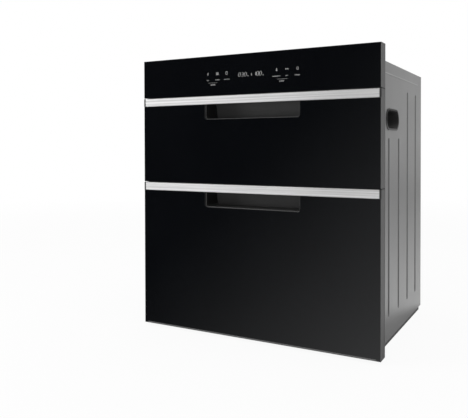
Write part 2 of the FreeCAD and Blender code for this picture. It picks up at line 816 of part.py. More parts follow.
def liner(bay):
    # Stainless box, open in front, with a flange behind the body's front flange.
    label = bay.name + "_liner"
    body = new_body(label)
    skin = d.liner_sheet
    outer = rectangle((-X_LINER, X_LINER), (bay.floor - skin, bay.ceiling + skin))
    inner = rectangle((-X_CHAMBER, X_CHAMBER), (bay.floor, bay.ceiling))
    reach = X_CHAMBER + d.liner_flange
    rim = rectangle((-reach, reach), (bay.floor - d.liner_flange, bay.ceiling + d.liner_flange))
    prism(body, "y", [outer], (Y_BODY, Y_LINER))
    prism(body, "y", [rim], (Y_BODY, Y_BODY + skin))
    pocket(body, "y", [inner], (Y_BODY, Y_CHAMBER))
    if bay is UPPER:
        pocket(body, "y", vent_holes(), (Y_CHAMBER, Y_LINER))
        nozzle = Circle(OZONE_ACROSS, OZONE_ALONG, d.nozzle_radius + d.nozzle_slack)
        pocket(body, "z", [nozzle], (bay.ceiling, bay.ceiling + skin))
    node(body, label)


FAN_HEIGHT = (UPPER.floor + UPPER.ceiling) / 2
FAN_HALF = d.fan_radius + d.fan_run + d.housing_gap
OZONE_ACROSS = X_CHAMBER / 2
OZONE_ALONG = (Y_BODY + Y_CHAMBER) / 2
INLET_HOLES = 8
OUTLETS_EACH_SIDE = 3


def vent_holes():
    # A ring of inlet holes before the fan and a row of warm air slots under its housing's top.
    holes = []
    for index in range(INLET_HOLES):
        turn = 2 * math.pi * index / INLET_HOLES
        across = d.inlet_ring * math.cos(turn)
        up = FAN_HEIGHT + d.inlet_ring * math.sin(turn)
        holes.append(Circle(across, up, d.inlet_hole))
    head = FAN_HEIGHT + FAN_HALF - d.outlet_down
    half = d.outlet_wide / 2
    for index in range(-OUTLETS_EACH_SIDE, OUTLETS_EACH_SIDE + 1):
        middle = d.outlet_pitch * index
        holes.append(slot((middle - half, middle + half), (head - d.outlet_tall, head)))
    return holes


def insulation():
    # Boards round the hot lower chamber, the upper one carrying the upper liner.
    along = (Y_BODY + d.board_back, Y_CHAMBER)
    up = (LOWER.floor, LOWER.ceiling)
    reach = X_CASE - d.sheet - d.groove_deep - d.board_clear
    boards = []
    for side in (-1, 1):
        across = (X_LINER * side, reach * side)
        boards.append(block("side_board", across, along, up))
    level = (-X_CHAMBER, X_CHAMBER)
    middle = (LOWER.ceiling + d.liner_sheet, UPPER.floor - d.liner_sheet)
    boards.append(block("middle_board", level, along, middle))
    boards.append(block("floor_board", level, along, (Z_FLOOR, LOWER.floor - d.liner_sheet)))
    node(group("insulation_boards", boards), "insulation_boards")


def socket(name, side, grip, half, middle, radius):
    # A block on the rear wall, bored from one side for a tube's end.
    along, up = middle
    across = ((half - grip) * side, (half + d.socket_end) * side)
    tall = (up - d.socket_half, up + d.socket_half)
    shell = block(name, across, (along - d.socket_front, Y_CHAMBER), tall)
    ends = ((half - grip - PAST) * side, half * side)
    bore = rod(name + "_bore", "x", middle, ends, radius + d.bore_slack)
    return cut(name + "_bored", shell, [bore])


def lamp():
    # Ultraviolet tube across the rear of the upper chamber, its sockets and its guard.
    up = UPPER.ceiling - d.lamp_down
    along = Y_CHAMBER - d.lamp_back
    half = d.lamp_long / 2
    tube = rod("uv_tube", "x", (along, up), (-half, half), d.lamp_radius)
    node(tube, "uv_lamp")
    holders = []
    for side in (-1, 1):
        place = (along, up)
        holders.append(socket("lamp_socket", side, d.socket_grip, half, place, d.lamp_radius))
    node(group("lamp_holders", holders), "lamp_holders")
    reach = (up - d.lamp_guard_half, up + d.lamp_guard_half)
    front = along - d.guard_past
    guard("lamp_guard", half + d.guard_past, reach, front, d.lamp_guard_pitch)


def guard(label, half, up, face, pitch):
    # Slotted sheet turned back to the chamber's rear wall at both ends.
    body = new_body(label)
    prism(body, "y", [rectangle((-half, half), up)], (face, face + d.sheet))
    for side in (-1, 1):
        leg = [rectangle(((half - d.sheet) * side, half * side), (face, Y_CHAMBER))]
        prism(body, "z", leg, up)
        foot = [rectangle((half * side, (half + d.guard_foot) * side), up)]
        prism(body, "y", foot, (Y_CHAMBER - d.sheet, Y_CHAMBER))
    margin = d.guard_slot
    count = int(2 * (half - margin * 2).value / pitch.value)
    first = -pitch * (count - 1) / 2
    across = (first - d.guard_slot / 2, first + d.guard_slot / 2)
    pocket(body, "y", [slot(across, (up[0] + margin, up[1] - margin))], (face, face + d.sheet))
    pattern(body, "x", pitch, count)
    node(body, label)


def ozone_generator():
    up = UPPER.ceiling + d.liner_sheet
    wide = d.ozone_wide / 2
    deep = d.ozone_deep / 2
    across = (OZONE_ACROSS - wide, OZONE_ACROSS + wide)
    along = (OZONE_ALONG - deep, OZONE_ALONG + deep)
    shell = block("ozone_case", across, along, (up, up + d.ozone_tall))
    place = (OZONE_ACROSS, OZONE_ALONG)
    ends = (UPPER.ceiling - d.nozzle_out, up + PAST)
    nozzle = rod("ozone_nozzle", "z", place, ends, d.nozzle_radius)
    node(join("ozone_generator", [shell, nozzle]), "ozone_generator")


def heater():
    # Two quartz tubes in ceramic holders at the rear of the lower chamber.
    along = Y_CHAMBER - d.heater_back
    half = d.heater_long / 2
    tubes = []
    holders = []
    low = LOWER.floor + d.heater_low
    for height in (low, low + d.heater_rise):
        place = (along, height)
        tubes.append(rod("quartz_tube", "x", place, (-half, half), d.heater_radius))
        for side in (-1, 1):
            grip = d.ceramic_grip
            holders.append(socket("ceramic", side, grip, half, place, d.heater_radius))
    node(group("heating_tubes", tubes), "heating_tubes")
    node(group("tube_holders", holders), "tube_holders")
    past = d.heater_guard_past
    reach = (low - past, low + d.heater_rise + past)
    front = along - d.guard_past
    guard("heater_guard", half + d.guard_past, reach, front, d.heater_guard_pitch)


# Fan behind the upper chamber, electrics, controls.


def fan():
    housing = new_body("fan_housing")
    wall = d.housing_wall
    back = Y_LINER + d.fan_deep + d.fan_run * 2
    outer = rectangle((-FAN_HALF, FAN_HALF), (FAN_HEIGHT - FAN_HALF, FAN_HEIGHT + FAN_HALF))
    half = FAN_HALF - wall
    inner = rectangle((-half, half), (FAN_HEIGHT - half, FAN_HEIGHT + half))
    prism(housing, "y", [outer], (Y_LINER, back))
    pocket(housing, "y", [inner], (Y_LINER, back - wall))
    hole = Circle(0, FAN_HEIGHT, d.shaft_radius + d.shaft_hole)
    pocket(housing, "y", [hole], (back - wall, back))
    node(housing, "fan_housing")

    motor = new_body("fan_motor")
    prism(motor, "y", [Circle(0, FAN_HEIGHT, d.motor_radius)], (back, back + d.motor_long))
    bearing = Circle(0, FAN_HEIGHT, d.shaft_radius + d.bearing_slack)
    pocket(motor, "y", [bearing], (back, back + d.bearing_deep))
    node(motor, "fan_motor")

    front = Y_LINER + d.fan_run
    middle = (0, FAN_HEIGHT)
    ends = (front + PAST, back + d.bearing_deep - PAST)
    shaft = rod("shaft", "y", middle, ends, d.shaft_radius)
    node(shaft, "fan_shaft")

    rear = front + d.fan_deep
    hub = rod("hub", "y", middle, (front, rear), d.hub_radius)
    plate = rod("fan_plate", "y", middle, (rear - d.plate_thick, rear), d.fan_radius)
    thick = d.blade_thick
    reach = d.fan_radius - PAST - d.blade_long
    blades = []
    for index in range(BLADES):
        turn = 2 * math.pi * index / BLADES
        across = (0, d.blade_long)
        blade = block("blade", across, (front, rear - d.plate_thick), (0, thick))
        blade.Placement.Rotation = FreeCAD.Rotation(V(0, 1, 0), math.degrees(turn))
        place = reach * math.cos(turn) - thick / 2 * math.sin(turn)
        height = FAN_HEIGHT - reach * math.sin(turn) - thick / 2 * math.cos(turn)
        bind(blade, "Placement.Base.x", place)
        bind(blade, "Placement.Base.z", height)
        blades.append(blade)
    wheel = join("fan_wheel", [hub, plate] + blades)
    ends = (front + PAST, rear + PAST)
    bore = rod("wheel_bore", "y", middle, ends, d.shaft_radius + d.bearing_slack)
    node(cut("fan_impeller", wheel, [bore]), "fan_impeller")

    top = FAN_HEIGHT + half
    across = (-FAN_HALF + d.ptc_in, FAN_HALF - d.ptc_in)
    along = (Y_LINER + d.ptc_front, back - d.ptc_back)
    node(block("ptc_element", across, along, (top - d.ptc_tall, top)), "ptc_heater")


BLADES = 12


def electrics():
    # Mains board over the upper chamber, door switches, thermostats on the liners' backs.
    up = UPPER.ceiling + d.liner_sheet
    left = -X_CHAMBER / 2 - d.mains_wide / 2
    right = left + d.mains_wide
    front = Y_BODY + d.mains_back
    rear = front + d.mains_deep
    foot = up + d.post_tall
    head = foot + d.board_thick
    pieces = [block("mains_board", (left, right), (front, rear), (foot, head))]
    for across in (left + d.post_in, right - d.post_in):
        for along in (front + d.post_in, rear - d.post_in):
            pieces.append(rod("post", "z", (across, along), (up, foot), d.post_radius))
    across = (left + d.coil_in, left + d.coil_in + d.coil_wide)
    along = (front + d.coil_in, front + d.coil_in + d.coil_deep)
    pieces.append(block("transformer", across, along, (head, head + d.coil_tall)))
    along = (front + d.relay_back, front + d.relay_back + d.relay_deep)
    for index in range(RELAYS):
        edge = (left + right) / 2 + d.reed_size + d.relay_pitch * index
        across = (edge, edge + d.relay_wide)
        pieces.append(block("relay", across, along, (head, head + d.relay_tall)))
    node(join("power_board", pieces), "power_board")

    switches = []
    middle = X_CHAMBER - d.magnet_in
    face = Y_BODY + d.liner_sheet
    for low in (LOWER.ceiling + d.reed_gap, UPPER.floor - d.reed_gap - d.reed_size):
        across = (middle - d.reed_wide / 2, middle + d.reed_wide / 2)
        up = (low, low + d.reed_size)
        switches.append(block("reed", across, (face, face + d.reed_size), up))
    node(group("reed_switches", switches), "reed_switches")

    discs = []
    for height in (FAN_HEIGHT, LOWER.floor + d.heater_low):
        ends = (Y_LINER, Y_LINER + d.disc_deep)
        discs.append(rod("thermostat", "y", (d.disc_across, height), ends, d.disc_radius))
    node(group("thermostats", discs), "thermostats")


RELAYS = 3
KEY_HEIGHT = Z_CONTROL + d.key_up
KEYS = [(d.key_inner + d.key_pitch * step) * side for side in (-1, 1) for step in range(3)]
KEY_EDGE = d.key_inner + d.key_pitch * 2
WINDOW_EDGE = KEY_EDGE + d.window_past
POST_EDGE = WINDOW_EDGE + d.key_post_past
POST_REACH = d.window_half + d.key_post_up
KEY_FACE = Y_PLATE + d.key_post_tall


def control_panel():
    # Glass panel over a sheet frame, its board behind a window, key springs on the glass.
    up = (Z_CONTROL, Z_FRONT_TOP)
    glass = new_body("control_glass")
    prism(glass, "y", [rectangle((-X_FRONT, X_FRONT), up)], (Y_FACE, Y_GLASS))
    bevel_face(glass, d.glass_bevel)
    node(glass, "control_glass")

    frame = new_body("control_frame")
    skin = d.frame_sheet
    prism(frame, "y", [rectangle((-X_FRONT, X_FRONT), up)], (Y_GLASS, Y_FLANGE))
    inner = (up[0] + skin, up[1] - skin)
    hollow = [rectangle((-X_FRONT + skin, X_FRONT - skin), inner)]
    pocket(frame, "y", hollow, (Y_PLATE, Y_FLANGE))
    tall = (KEY_HEIGHT - d.window_half, KEY_HEIGHT + d.window_half)
    pocket(frame, "y", [rectangle((-WINDOW_EDGE, WINDOW_EDGE), tall)], (Y_GLASS, Y_PLATE))
    posts = []
    for across in (-POST_EDGE, POST_EDGE):
        for height in (KEY_HEIGHT - POST_REACH, KEY_HEIGHT + POST_REACH):
            posts.append(Circle(across, height, d.post_radius))
    prism(frame, "y", posts, (Y_PLATE, KEY_FACE))
    node(frame, "control_frame")

    wide = POST_EDGE + d.key_board_past
    tall = POST_REACH + d.key_board_past
    along = (KEY_FACE, KEY_FACE + d.board_thick)
    board = block("key_board", (-wide, wide), along, (KEY_HEIGHT - tall, KEY_HEIGHT + tall))
    pieces = [board]
    for across in KEYS:
        middle = (across, KEY_HEIGHT)
        pieces.append(rod("key_spring", "y", middle, (Y_GLASS, KEY_FACE), d.key_radius))
    node(join("control_board", pieces), "control_board")

    middle = KEY_HEIGHT - d.digits_down
    across = (d.digits_across - d.digits_wide / 2, d.digits_across + d.digits_wide / 2)
    tall = (middle - d.digits_tall / 2, middle + d.digits_tall / 2)
    node(block("digit_case", across, (Y_GLASS, KEY_FACE), tall), "display_module")


def bevel_face(body, size_of_bevel):
    # Bevels the edges of a front piece's outer face.
    limit = Y_FACE.value + NEAR
    round_edges(body, size_of_bevel, lambda middle, line: middle.y < limit, "PartDesign::Chamfer")


# Drawers.


def drawer_front(bay):
    up = (bay.foot, bay.head)
    half = d.recess_wide / 2

    glass = new_body(bay.name + "_front_glass")
    prism(glass, "y", [notched(bay, half)], (Y_FACE, Y_GLASS))
    bevel_face(glass, d.glass_bevel)
    node(glass, glass.Name)

    strip = new_body(bay.name + "_handle_strip")
    prism(strip, "y", [rectangle((-X_STRIP, X_STRIP), (bay.strip, bay.head))], (Y_FACE, Y_GLASS))
    reach = X_STRIP - d.strip_rim
    bed = [rectangle((-reach, reach), (bay.strip + d.strip_rim, bay.head - d.strip_rim))]
    pocket(strip, "y", bed, (Y_GLASS - d.strip_bed, Y_GLASS))
    bevel_face(strip, d.strip_bevel)
    node(strip, strip.Name)

    caps = []
    for side in (-1, 1):
        across = (X_STRIP * side, X_FRONT * side)
        caps.append(block(bay.name + "_cap", across, (Y_FACE, Y_GLASS), (bay.strip, bay.head)))
    node(group(bay.name + "_strip_caps", caps), bay.name + "_strip_caps")

    frame = new_body(bay.name + "_front_frame")
    skin = d.frame_sheet
    inner = (up[0] + skin, up[1] - skin)
    lips = (up[0] + d.frame_lip, up[1] - d.frame_lip)
    prism(frame, "y", [rectangle((-X_FRONT, X_FRONT), up)], (Y_GLASS, Y_FRAME))
    hollow = [rectangle((-X_FRONT + skin, X_FRONT - skin), inner)]
    pocket(frame, "y", hollow, (Y_PLATE, Y_FRAME - skin))
    back = [rectangle((-X_FRONT + d.frame_lip, X_FRONT - d.frame_lip), lips)]
    pocket(frame, "y", back, (Y_FRAME - skin, Y_FRAME))
    pocket(frame, "y", [cup_mouth(bay, 0)], (Y_GLASS, Y_PLATE))
    node(frame, frame.Name)

    finger_cup(bay)

    reach = X_FRONT - d.panel_in
    panel = new_body(bay.name + "_inner_panel")
    loops = [rectangle((-reach, reach), (up[0] + d.panel_in, up[1] - d.panel_in))]
    loops.append(rectangle(*cup_reach(bay, d.cup_wall + d.slack)))
    prism(panel, "y", loops, (Y_FRAME, Y_INNER))
    node(panel, panel.Name)

    seal = new_body(bay.name + "_door_seal")
    loops = []
    for reach in (d.seal_wide + d.seal_lap, d.seal_lap):
        across = (-X_CHAMBER - reach, X_CHAMBER + reach)
        loops.append(rectangle(across, (bay.floor - reach, bay.ceiling + reach), reach))
    prism(seal, "y", loops, (Y_INNER, Y_SEAL))
    node(seal, seal.Name)

    low = bay.foot + d.frame_lip + d.magnet_lift
    if bay is LOWER:
        low = bay.head - d.frame_lip - d.magnet_lift - d.magnet_tall
    middle = X_CHAMBER - d.magnet_in
    across = (middle - d.magnet_wide / 2, middle + d.magnet_wide / 2)
    along = (Y_FRAME - d.magnet_deep, Y_FRAME)
    magnet = block(bay.name + "_magnet_block", across, along, (low, low + d.magnet_tall))
    node(magnet, bay.name + "_magnet")


def notched(bay, half):
    # The glass up to the handle strip, with the finger recess cut into its upper edge.
    radius = d.recess_radius
    return [
        (-X_FRONT, bay.foot),
        (X_FRONT, bay.foot),
        (X_FRONT, bay.strip),
        (half, bay.strip),
        (half, bay.recess, radius),
        (-half, bay.recess, radius),
        (-half, bay.strip),
        (-X_FRONT, bay.strip),
    ]


def cup_reach(bay, grow):
    # The finger cup's inner width and height, grown on every side.
    half = d.recess_wide / 2 - d.recess_rim + grow
    return (-half, half), (bay.recess + d.recess_rim - grow, bay.strip + d.recess_rise + grow)


def cup_mouth(bay, grow):
    return rectangle(*cup_reach(bay, grow), d.recess_radius - d.recess_rim)


def finger_cup(bay):
    # Moulded pocket behind the front's plate, deeper at its floor than at its top.
    cup = new_body(bay.name + "_finger_cup")
    wall = d.cup_wall
    half = d.recess_wide / 2 - d.recess_rim
    floor = bay.recess + d.recess_rim
    roof = bay.strip + d.recess_rise
    top = Y_FACE + d.recess_deep
    foot = top + d.recess_slope
    outside = [
        (Y_PLATE, floor - wall),
        (foot + wall, floor - wall),
        (top + wall, roof + wall),
        (Y_PLATE, roof + wall),
    ]
    inside = [(Y_PLATE, floor), (foot, floor), (top, roof), (Y_PLATE, roof)]
    prism(cup, "x", [outside], (-half - wall, half + wall))
    flange = (Y_PLATE, Y_PLATE + d.flange_thick)
    prism(cup, "y", [cup_mouth(bay, d.cup_flange)], flange)
    pocket(cup, "x", [inside], (-half, half))
    corner = d.recess_radius - d.recess_rim
    recess_long = d.recess_deep.value / 2

    def lower_side(middle, line):
        low = abs(middle.z - floor.value) < NEAR
        return low and abs(abs(middle.x) - half.value) < NEAR and abs(line.y) > recess_long

    round_edges(cup, corner, lower_side)
    node(cup, cup.Name)


def side_plates(bay):
    # Plates on the inner rails: tabs to the front, ledges under the basket.
    plates = []
    end = Y_INNER + d.side_long
    up = (bay.ledge, bay.ledge + d.slide_tall)
    for side in (-1, 1):
        body = new_body(f"{bay.name}_plate_{'left' if side < 0 else 'right'}")
        outer = X_SLIDE * side
        inner = (X_SLIDE - d.slide_sheet) * side
        edge = (X_SLIDE - d.ledge) * side
        prism(body, "x", [rectangle((Y_INNER, end), up)], (outer, inner))
        ledge = [rectangle((edge, inner), (Y_INNER, end))]
        prism(body, "z", ledge, (bay.ledge, bay.basket))
        prism(body, "y", [rectangle((edge, inner), up)], (Y_INNER, Y_INNER + d.slide_sheet))
        plates.append(body)
    node(group(bay.name + "_side_plates", plates), bay.name + "_side_plates")


def channel(bay, label, web, reach, half):
    # A pair of slide members: web and reach are depths from the chamber's wall.
    members = []
    skin = d.slide_sheet
    for side in (-1, 1):
        near = (X_CHAMBER - web) * side
        far = (X_CHAMBER - reach) * side
        back = near - skin * (side if reach.value > web.value else -side)
        section = [
            (near, bay.slide - half),
            (far, bay.slide - half),
            (far, bay.slide - half + skin),
            (back, bay.slide - half + skin),
            (back, bay.slide + half - skin),
            (far, bay.slide + half - skin),
            (far, bay.slide + half),
            (near, bay.slide + half),
        ]
        body = new_body(f"{label}_{'left' if side < 0 else 'right'}")
        prism(body, "y", [section], (Y_RAILS, Y_RAILS + d.slide_long))
        members.append(body)
    node(group(label, members), label)


def slides(bay):
    # Outer, middle and inner members nest with a running gap above and below.
    outer_half = d.slide_tall / 2
    middle_half = outer_half - d.slide_sheet - d.slide_run
    inner_half = middle_half - d.slide_sheet - d.slide_run
    wall = size(0)
    near = d.slide_sheet + d.slide_run * 2
    far = d.slide_thick - d.slide_sheet - d.slide_run * 2
    inner_reach = near + d.slide_sheet + d.slide_run * 2
    channel(bay, bay.name + "_outer_rails", wall, far - d.slide_run * 2, outer_half)
    channel(bay, bay.name + "_middle_rails", near, far, middle_half)
    channel(bay, bay.name + "_inner_rails", d.slide_thick, inner_reach, inner_half)


def wire_run(points, radius, bend):
    # A bent wire: straight runs with a round at every inner point.
    edges = []
    start = points[0]
    for before, corner, after in zip(points, points[1:], points[2:]):
        back = (before - corner).normalize()
        ahead = (after - corner).normalize()
        entry = corner + back * bend
        leave = corner + ahead * bend
        inward = back + ahead
        centre = corner + inward * bend
        middle = centre - inward.normalize() * bend
        edges.append(Part.LineSegment(start, entry).toShape())
        edges.append(Part.Arc(entry, middle, leave).toShape())
        start = leave
    edges.append(Part.LineSegment(start, points[-1]).toShape())
    first = points[1] - points[0]
    section = Part.Face(Part.Wire([Part.makeCircle(radius, points[0], first)]))
    return Part.Wire(edges).makePipe(section)


def hoop(half, front, back, height, radius, bend):
    # A closed wire round the basket, from the middle of its front.
    points = [
        V(0, front, height),
        V(half, front, height),
        V(half, back, height),
        V(-half, back, height),
        V(-half, front, height),
        V(0, front, height),
    ]
    return wire_run(points, radius, bend)


def row_places(low, high, pitch):
    # Evenly pitched places, centred between two ends.
    count = int((high - low) / pitch)
    middle = (low + high) / 2
    return [middle + pitch * (index - count / 2) for index in range(count + 1)]


WELD_SHARE = 0.15
BEND_WIRES = 4
RACK_WIDE = 2


class BasketPlan:
    # The basket's wire centres, from the sheet's present values.
    def __init__(self, bay):
        self.wire = d.wire.value / 2
        self.rim = d.rim_wire.value / 2
        self.weld = WELD_SHARE * d.wire.value / 2
        self.half = (X_SLIDE - d.slide_sheet - d.slack).value - self.rim
        self.front = (Y_INNER + d.basket_back).value + self.rim
        self.back = (Y_INNER + d.side_long - d.slack).value - self.rim
        self.low = bay.basket.value + self.wire
        self.top = bay.basket_top.value - self.rim
        self.inset = self.rim + self.wire - self.weld
        self.near = self.front + self.inset
        self.far = self.back - self.inset
        self.raised = self.low + 2 * self.wire - self.weld
        self.bend = BEND_WIRES * self.wire
        pitch = d.wire_pitch.value
        ends = self.inset + self.bend + 2 * self.wire
        self.across = row_places(-self.half + ends, self.half - ends, pitch)
        self.along = row_places(self.front + ends, self.back - ends, pitch)


def basket(bay):
    # Welded wire basket: rim, middle hoop, and wires under the dishes both ways.
    plan = BasketPlan(bay)
    wall = plan.half - plan.inset
    top = plan.top
    pieces = [hoop(plan.half, plan.front, plan.back, top, plan.rim, plan.bend + plan.inset)]
    step = plan.inset + 2 * plan.wire - plan.weld
    height = (plan.low + top) / 2
    ends = (plan.half - step, plan.front + step, plan.back - step)
    pieces.append(hoop(*ends, height, plan.wire, plan.bend))
    for along in plan.along:
        points = [V(-wall, along, top), V(-wall, along, plan.low)]
        points += [V(wall, along, plan.low), V(wall, along, top)]
        pieces.append(wire_run(points, plan.wire, plan.bend))
    for across in plan.across:
        points = [V(across, plan.near, top), V(across, plan.near, plan.raised)]
        points += [V(across, plan.far, plan.raised), V(across, plan.far, top)]
        pieces.append(wire_run(points, plan.wire, plan.bend))
    feature = doc.addObject("Part::Feature", bay.name + "_basket")
    feature.Shape = pieces[0].fuse(pieces[1:])
    node(feature, feature.Name)


def plate_rack():
    # Upright loops that hold plates on edge, their feet on the lower basket's floor wires.
    plan = BasketPlan(LOWER)
    foot = plan.raised + plan.wire
    head = foot + d.rack_tall.value
    quarter = len(plan.across) // 4
    columns = [(quarter, quarter + RACK_WIDE), (-quarter - 1 - RACK_WIDE, -quarter - 1)]
    loops = []
    for left, right in columns:
        for along in plan.along:
            points = [V(plan.across[left], along, foot), V(plan.across[left], along, head)]
            points += [V(plan.across[right], along, head), V(plan.across[right], along, foot)]
            loops.append(wire_run(points, plan.wire, plan.bend))
    feature = doc.addObject("Part::Feature", "plate_rack")
    feature.Shape = Part.makeCompound(loops)
    node(feature, "plate_rack")


def drawer(bay):
    drawer_front(bay)
    side_plates(bay)
    slides(bay)
    basket(bay)


def check():
    # Every object up to date, every sub-part a valid shape.
    for item in doc.Objects:
        if {"Invalid", "Error"} & set(item.State):
            raise RuntimeError(f"{item.Label} failed: {item.State}")
    for piece in NODES:
        if piece.Shape.isNull() or not piece.Shape.isValid() or not piece.Shape.Solids:
            raise RuntimeError(f"{piece.Label} has no valid solid")


side_panel(-1, "side_panel_left")
side_panel(1, "side_panel_right")
carry_handle(-1, "carry_handle_left")
carry_handle(1, "carry_handle_right")
top_cover()
base_pan()
back_panel()
cord_bushing()
back_screws()
rubber_feet()
front_flange()
liner(UPPER)
liner(LOWER)
insulation()
lamp()
ozone_generator()
heater()
fan()
electrics()
control_panel()
drawer(UPPER)
drawer(LOWER)
plate_rack()

doc.recompute()
check()
os.makedirs("parts", exist_ok=True)
for piece in NODES:
    piece.Shape.exportStep(f"parts/{piece.Label}.step")
    print(piece.Label, len(piece.Shape.Solids), round(piece.Shape.Volume / 1000, 1), "cm3")
print(len(NODES), "sub-parts")
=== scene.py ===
import math

import bmesh
import bpy
from mathutils import Matrix, Vector


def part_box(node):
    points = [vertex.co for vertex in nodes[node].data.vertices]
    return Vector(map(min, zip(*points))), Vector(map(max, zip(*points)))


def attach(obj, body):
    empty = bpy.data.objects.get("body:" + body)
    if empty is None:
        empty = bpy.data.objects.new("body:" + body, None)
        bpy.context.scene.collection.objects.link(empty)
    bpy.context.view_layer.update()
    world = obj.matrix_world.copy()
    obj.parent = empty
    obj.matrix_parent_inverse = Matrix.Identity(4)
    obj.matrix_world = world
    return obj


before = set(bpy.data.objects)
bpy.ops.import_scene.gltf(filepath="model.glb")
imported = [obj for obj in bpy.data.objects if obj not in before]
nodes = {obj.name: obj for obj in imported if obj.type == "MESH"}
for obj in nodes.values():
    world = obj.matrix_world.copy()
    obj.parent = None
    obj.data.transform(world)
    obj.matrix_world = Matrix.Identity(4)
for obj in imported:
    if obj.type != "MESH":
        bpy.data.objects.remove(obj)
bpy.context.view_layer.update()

mm = 0.001
glassLow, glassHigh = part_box("control_glass")
faceAt = glassLow.y  # the front of all the glass


# Shader maths: a socket that adds nodes when it is used in an expression.


class Link:
    def __init__(self, shader, socket):
        self.shader = shader
        self.socket = socket

    def __add__(self, other):
        return self.shader.maths("ADD", self, other)

    def __sub__(self, other):
        return self.shader.maths("SUBTRACT", self, other)

    def __rsub__(self, other):
        return self.shader.maths("SUBTRACT", other, self)

    def __mul__(self, other):
        return self.shader.maths("MULTIPLY", self, other)

    def __rtruediv__(self, other):
        return self.shader.maths("DIVIDE", other, self)

    __radd__ = __add__
    __rmul__ = __mul__

    def absolute(self):
        return self.shader.maths("ABSOLUTE", self)

    def above(self, limit, soft):
        # 0 below the limit, 1 above it, with a soft step of that width
        step = {"interpolation_type": "SMOOTHSTEP", "clamp": True}
        values = {"Value": self, "From Min": limit - soft / 2, "From Max": limit + soft / 2}
        return self.shader.add("ShaderNodeMapRange", step, values)

    def below(self, limit, soft):
        return 1 - self.above(limit, soft)

    def between(self, low, high, soft):
        return self.above(low, soft) * self.below(high, soft)

    def sharpened(self, soft):
        # more contrast for a pattern that lies about 0.5; a smaller soft gives more
        return self.above(0.5, soft)


class Shader:
    def __init__(self, tree):
        self.tree = tree
        tree.nodes.clear()

    def add(self, kind, settings=None, values=None, output=0):
        # one node: its settings first, then the values or links of its sockets
        node = self.tree.nodes.new(kind)
        for name, value in (settings or {}).items():
            setattr(node, name, value)
        for name, value in (values or {}).items():
            if isinstance(value, Link):
                self.tree.links.new(value.socket, node.inputs[name])
            else:
                node.inputs[name].default_value = value
        return Link(self, node.outputs[output]) if len(node.outputs) else node

    def maths(self, operation, first, second=None):
        values = {0: first} if second is None else {0: first, 1: second}
        return self.add("ShaderNodeMath", {"operation": operation}, values)

    def place(self):
        return self.add("ShaderNodeTexCoord", output=3)  # Object coordinates

    def axes(self):
        # across, deep and up, in metres
        split = self.add("ShaderNodeSeparateXYZ", None, {0: self.place()})
        return [Link(self, output) for output in split.socket.node.outputs]

    def noise(self, scale, detail=2.0, roughness=0.5, stretch=None):
        place = self.place()
        if stretch:
            place = self.add("ShaderNodeMapping", None, {0: place, "Scale": stretch})
        values = {"Vector": place, "Scale": scale, "Detail": detail, "Roughness": roughness}
        return self.add("ShaderNodeTexNoise", None, values)

    def mix(self, share, first, second):
        values = {0: share, 6: first, 7: second}
        return self.add("ShaderNodeMix", {"data_type": "RGBA"}, values, output=2)

    def tones(self, share, level, parts):
        # grey, from one part of the level to the other
        return self.mix(share, grey(level * parts[0]), grey(level * parts[1]))

    def bump(self, height, strength, distance):
        values = {"Strength": strength, "Distance": distance, "Height": height}
        return self.add("ShaderNodeBump", None, values)

    def finish(self, surface):
        self.add("ShaderNodeOutputMaterial", None, {0: surface})

    def principled(self, values):
        self.finish(self.add("ShaderNodeBsdfPrincipled", None, values))


def grey(level):
    return (level, level, level, 1.0)


def blend(first, second, share):
    # two patterns in one; share is how much of the second
    return first * (1 - share) + second * share


def newMaterial(name):
    material = bpy.data.materials.new(name)
    material.use_nodes = True
    return material, Shader(material.node_tree)


def newObject(name, data):
    holder = bpy.data.objects.new(name, data)
    bpy.context.scene.collection.objects.link(holder)
    return holder


def newPiece(name, form, material):
    mesh = bpy.data.meshes.new(name)
    form.to_mesh(mesh)
    form.free()
    mesh.materials.append(material)
    return newObject(name, mesh)


# Finishes, one function each, with lengths in metres. In a look, a noise is (scale, detail,
# roughness, stretch), tones are parts of the level, rough and uneven are the least roughness
# and what the pattern adds to it, soft is the width of a step, and relief is (strength, height).


def blackGlass(name, ground=None):
    # smooth toughened glass, printed blue-black behind, with the faintest wiping marks and
    # matt sides; ground is the height up to which its lower edge is matt too
    look = {"black": (0.0021, 0.0024, 0.0031, 1.0), "haze": (0.0036, 0.0041, 0.0051, 1.0),
            "cloud": (7.0, 3.0, 0.6), "wipe": (30.0, 4.0, 0.6, (0.35, 1.0, 1.6)),
            "rough": 0.03, "uneven": 0.05, "ior": 1.5, "specular": 0.5,
            "side": 0.108, "sideWide": 0.0007, "sideSoft": 0.0003, "sideRough": 0.5,
            "low": 0.102, "lowSoft": 0.0006, "lowRough": 0.4,
            "corner": 0.288, "cornerSoft": 0.008}
    material, shader = newMaterial(name)
    haze = shader.noise(*look["cloud"])
    wiped = shader.noise(*look["wipe"])
    colour = shader.mix(haze, look["black"], look["haze"])
    roughness = look["rough"] + wiped * haze * look["uneven"]
    across, _, up = shader.axes()
    side = across.absolute().above(glassHigh.x - look["sideWide"], look["sideSoft"])
    colour = shader.mix(side, colour, grey(look["side"]))
    roughness = roughness + side * look["sideRough"]
    if ground:
        cut = up.below(ground, look["lowSoft"])
        cut = cut * across.absolute().below(look["corner"], look["cornerSoft"])
        colour = shader.mix(cut, colour, grey(look["low"]))
        roughness = roughness + cut * look["lowRough"]
    shader.principled({"Base Color": colour, "Roughness": roughness,
                       "IOR": look["ior"], "Specular IOR Level": look["specular"]})
    return material


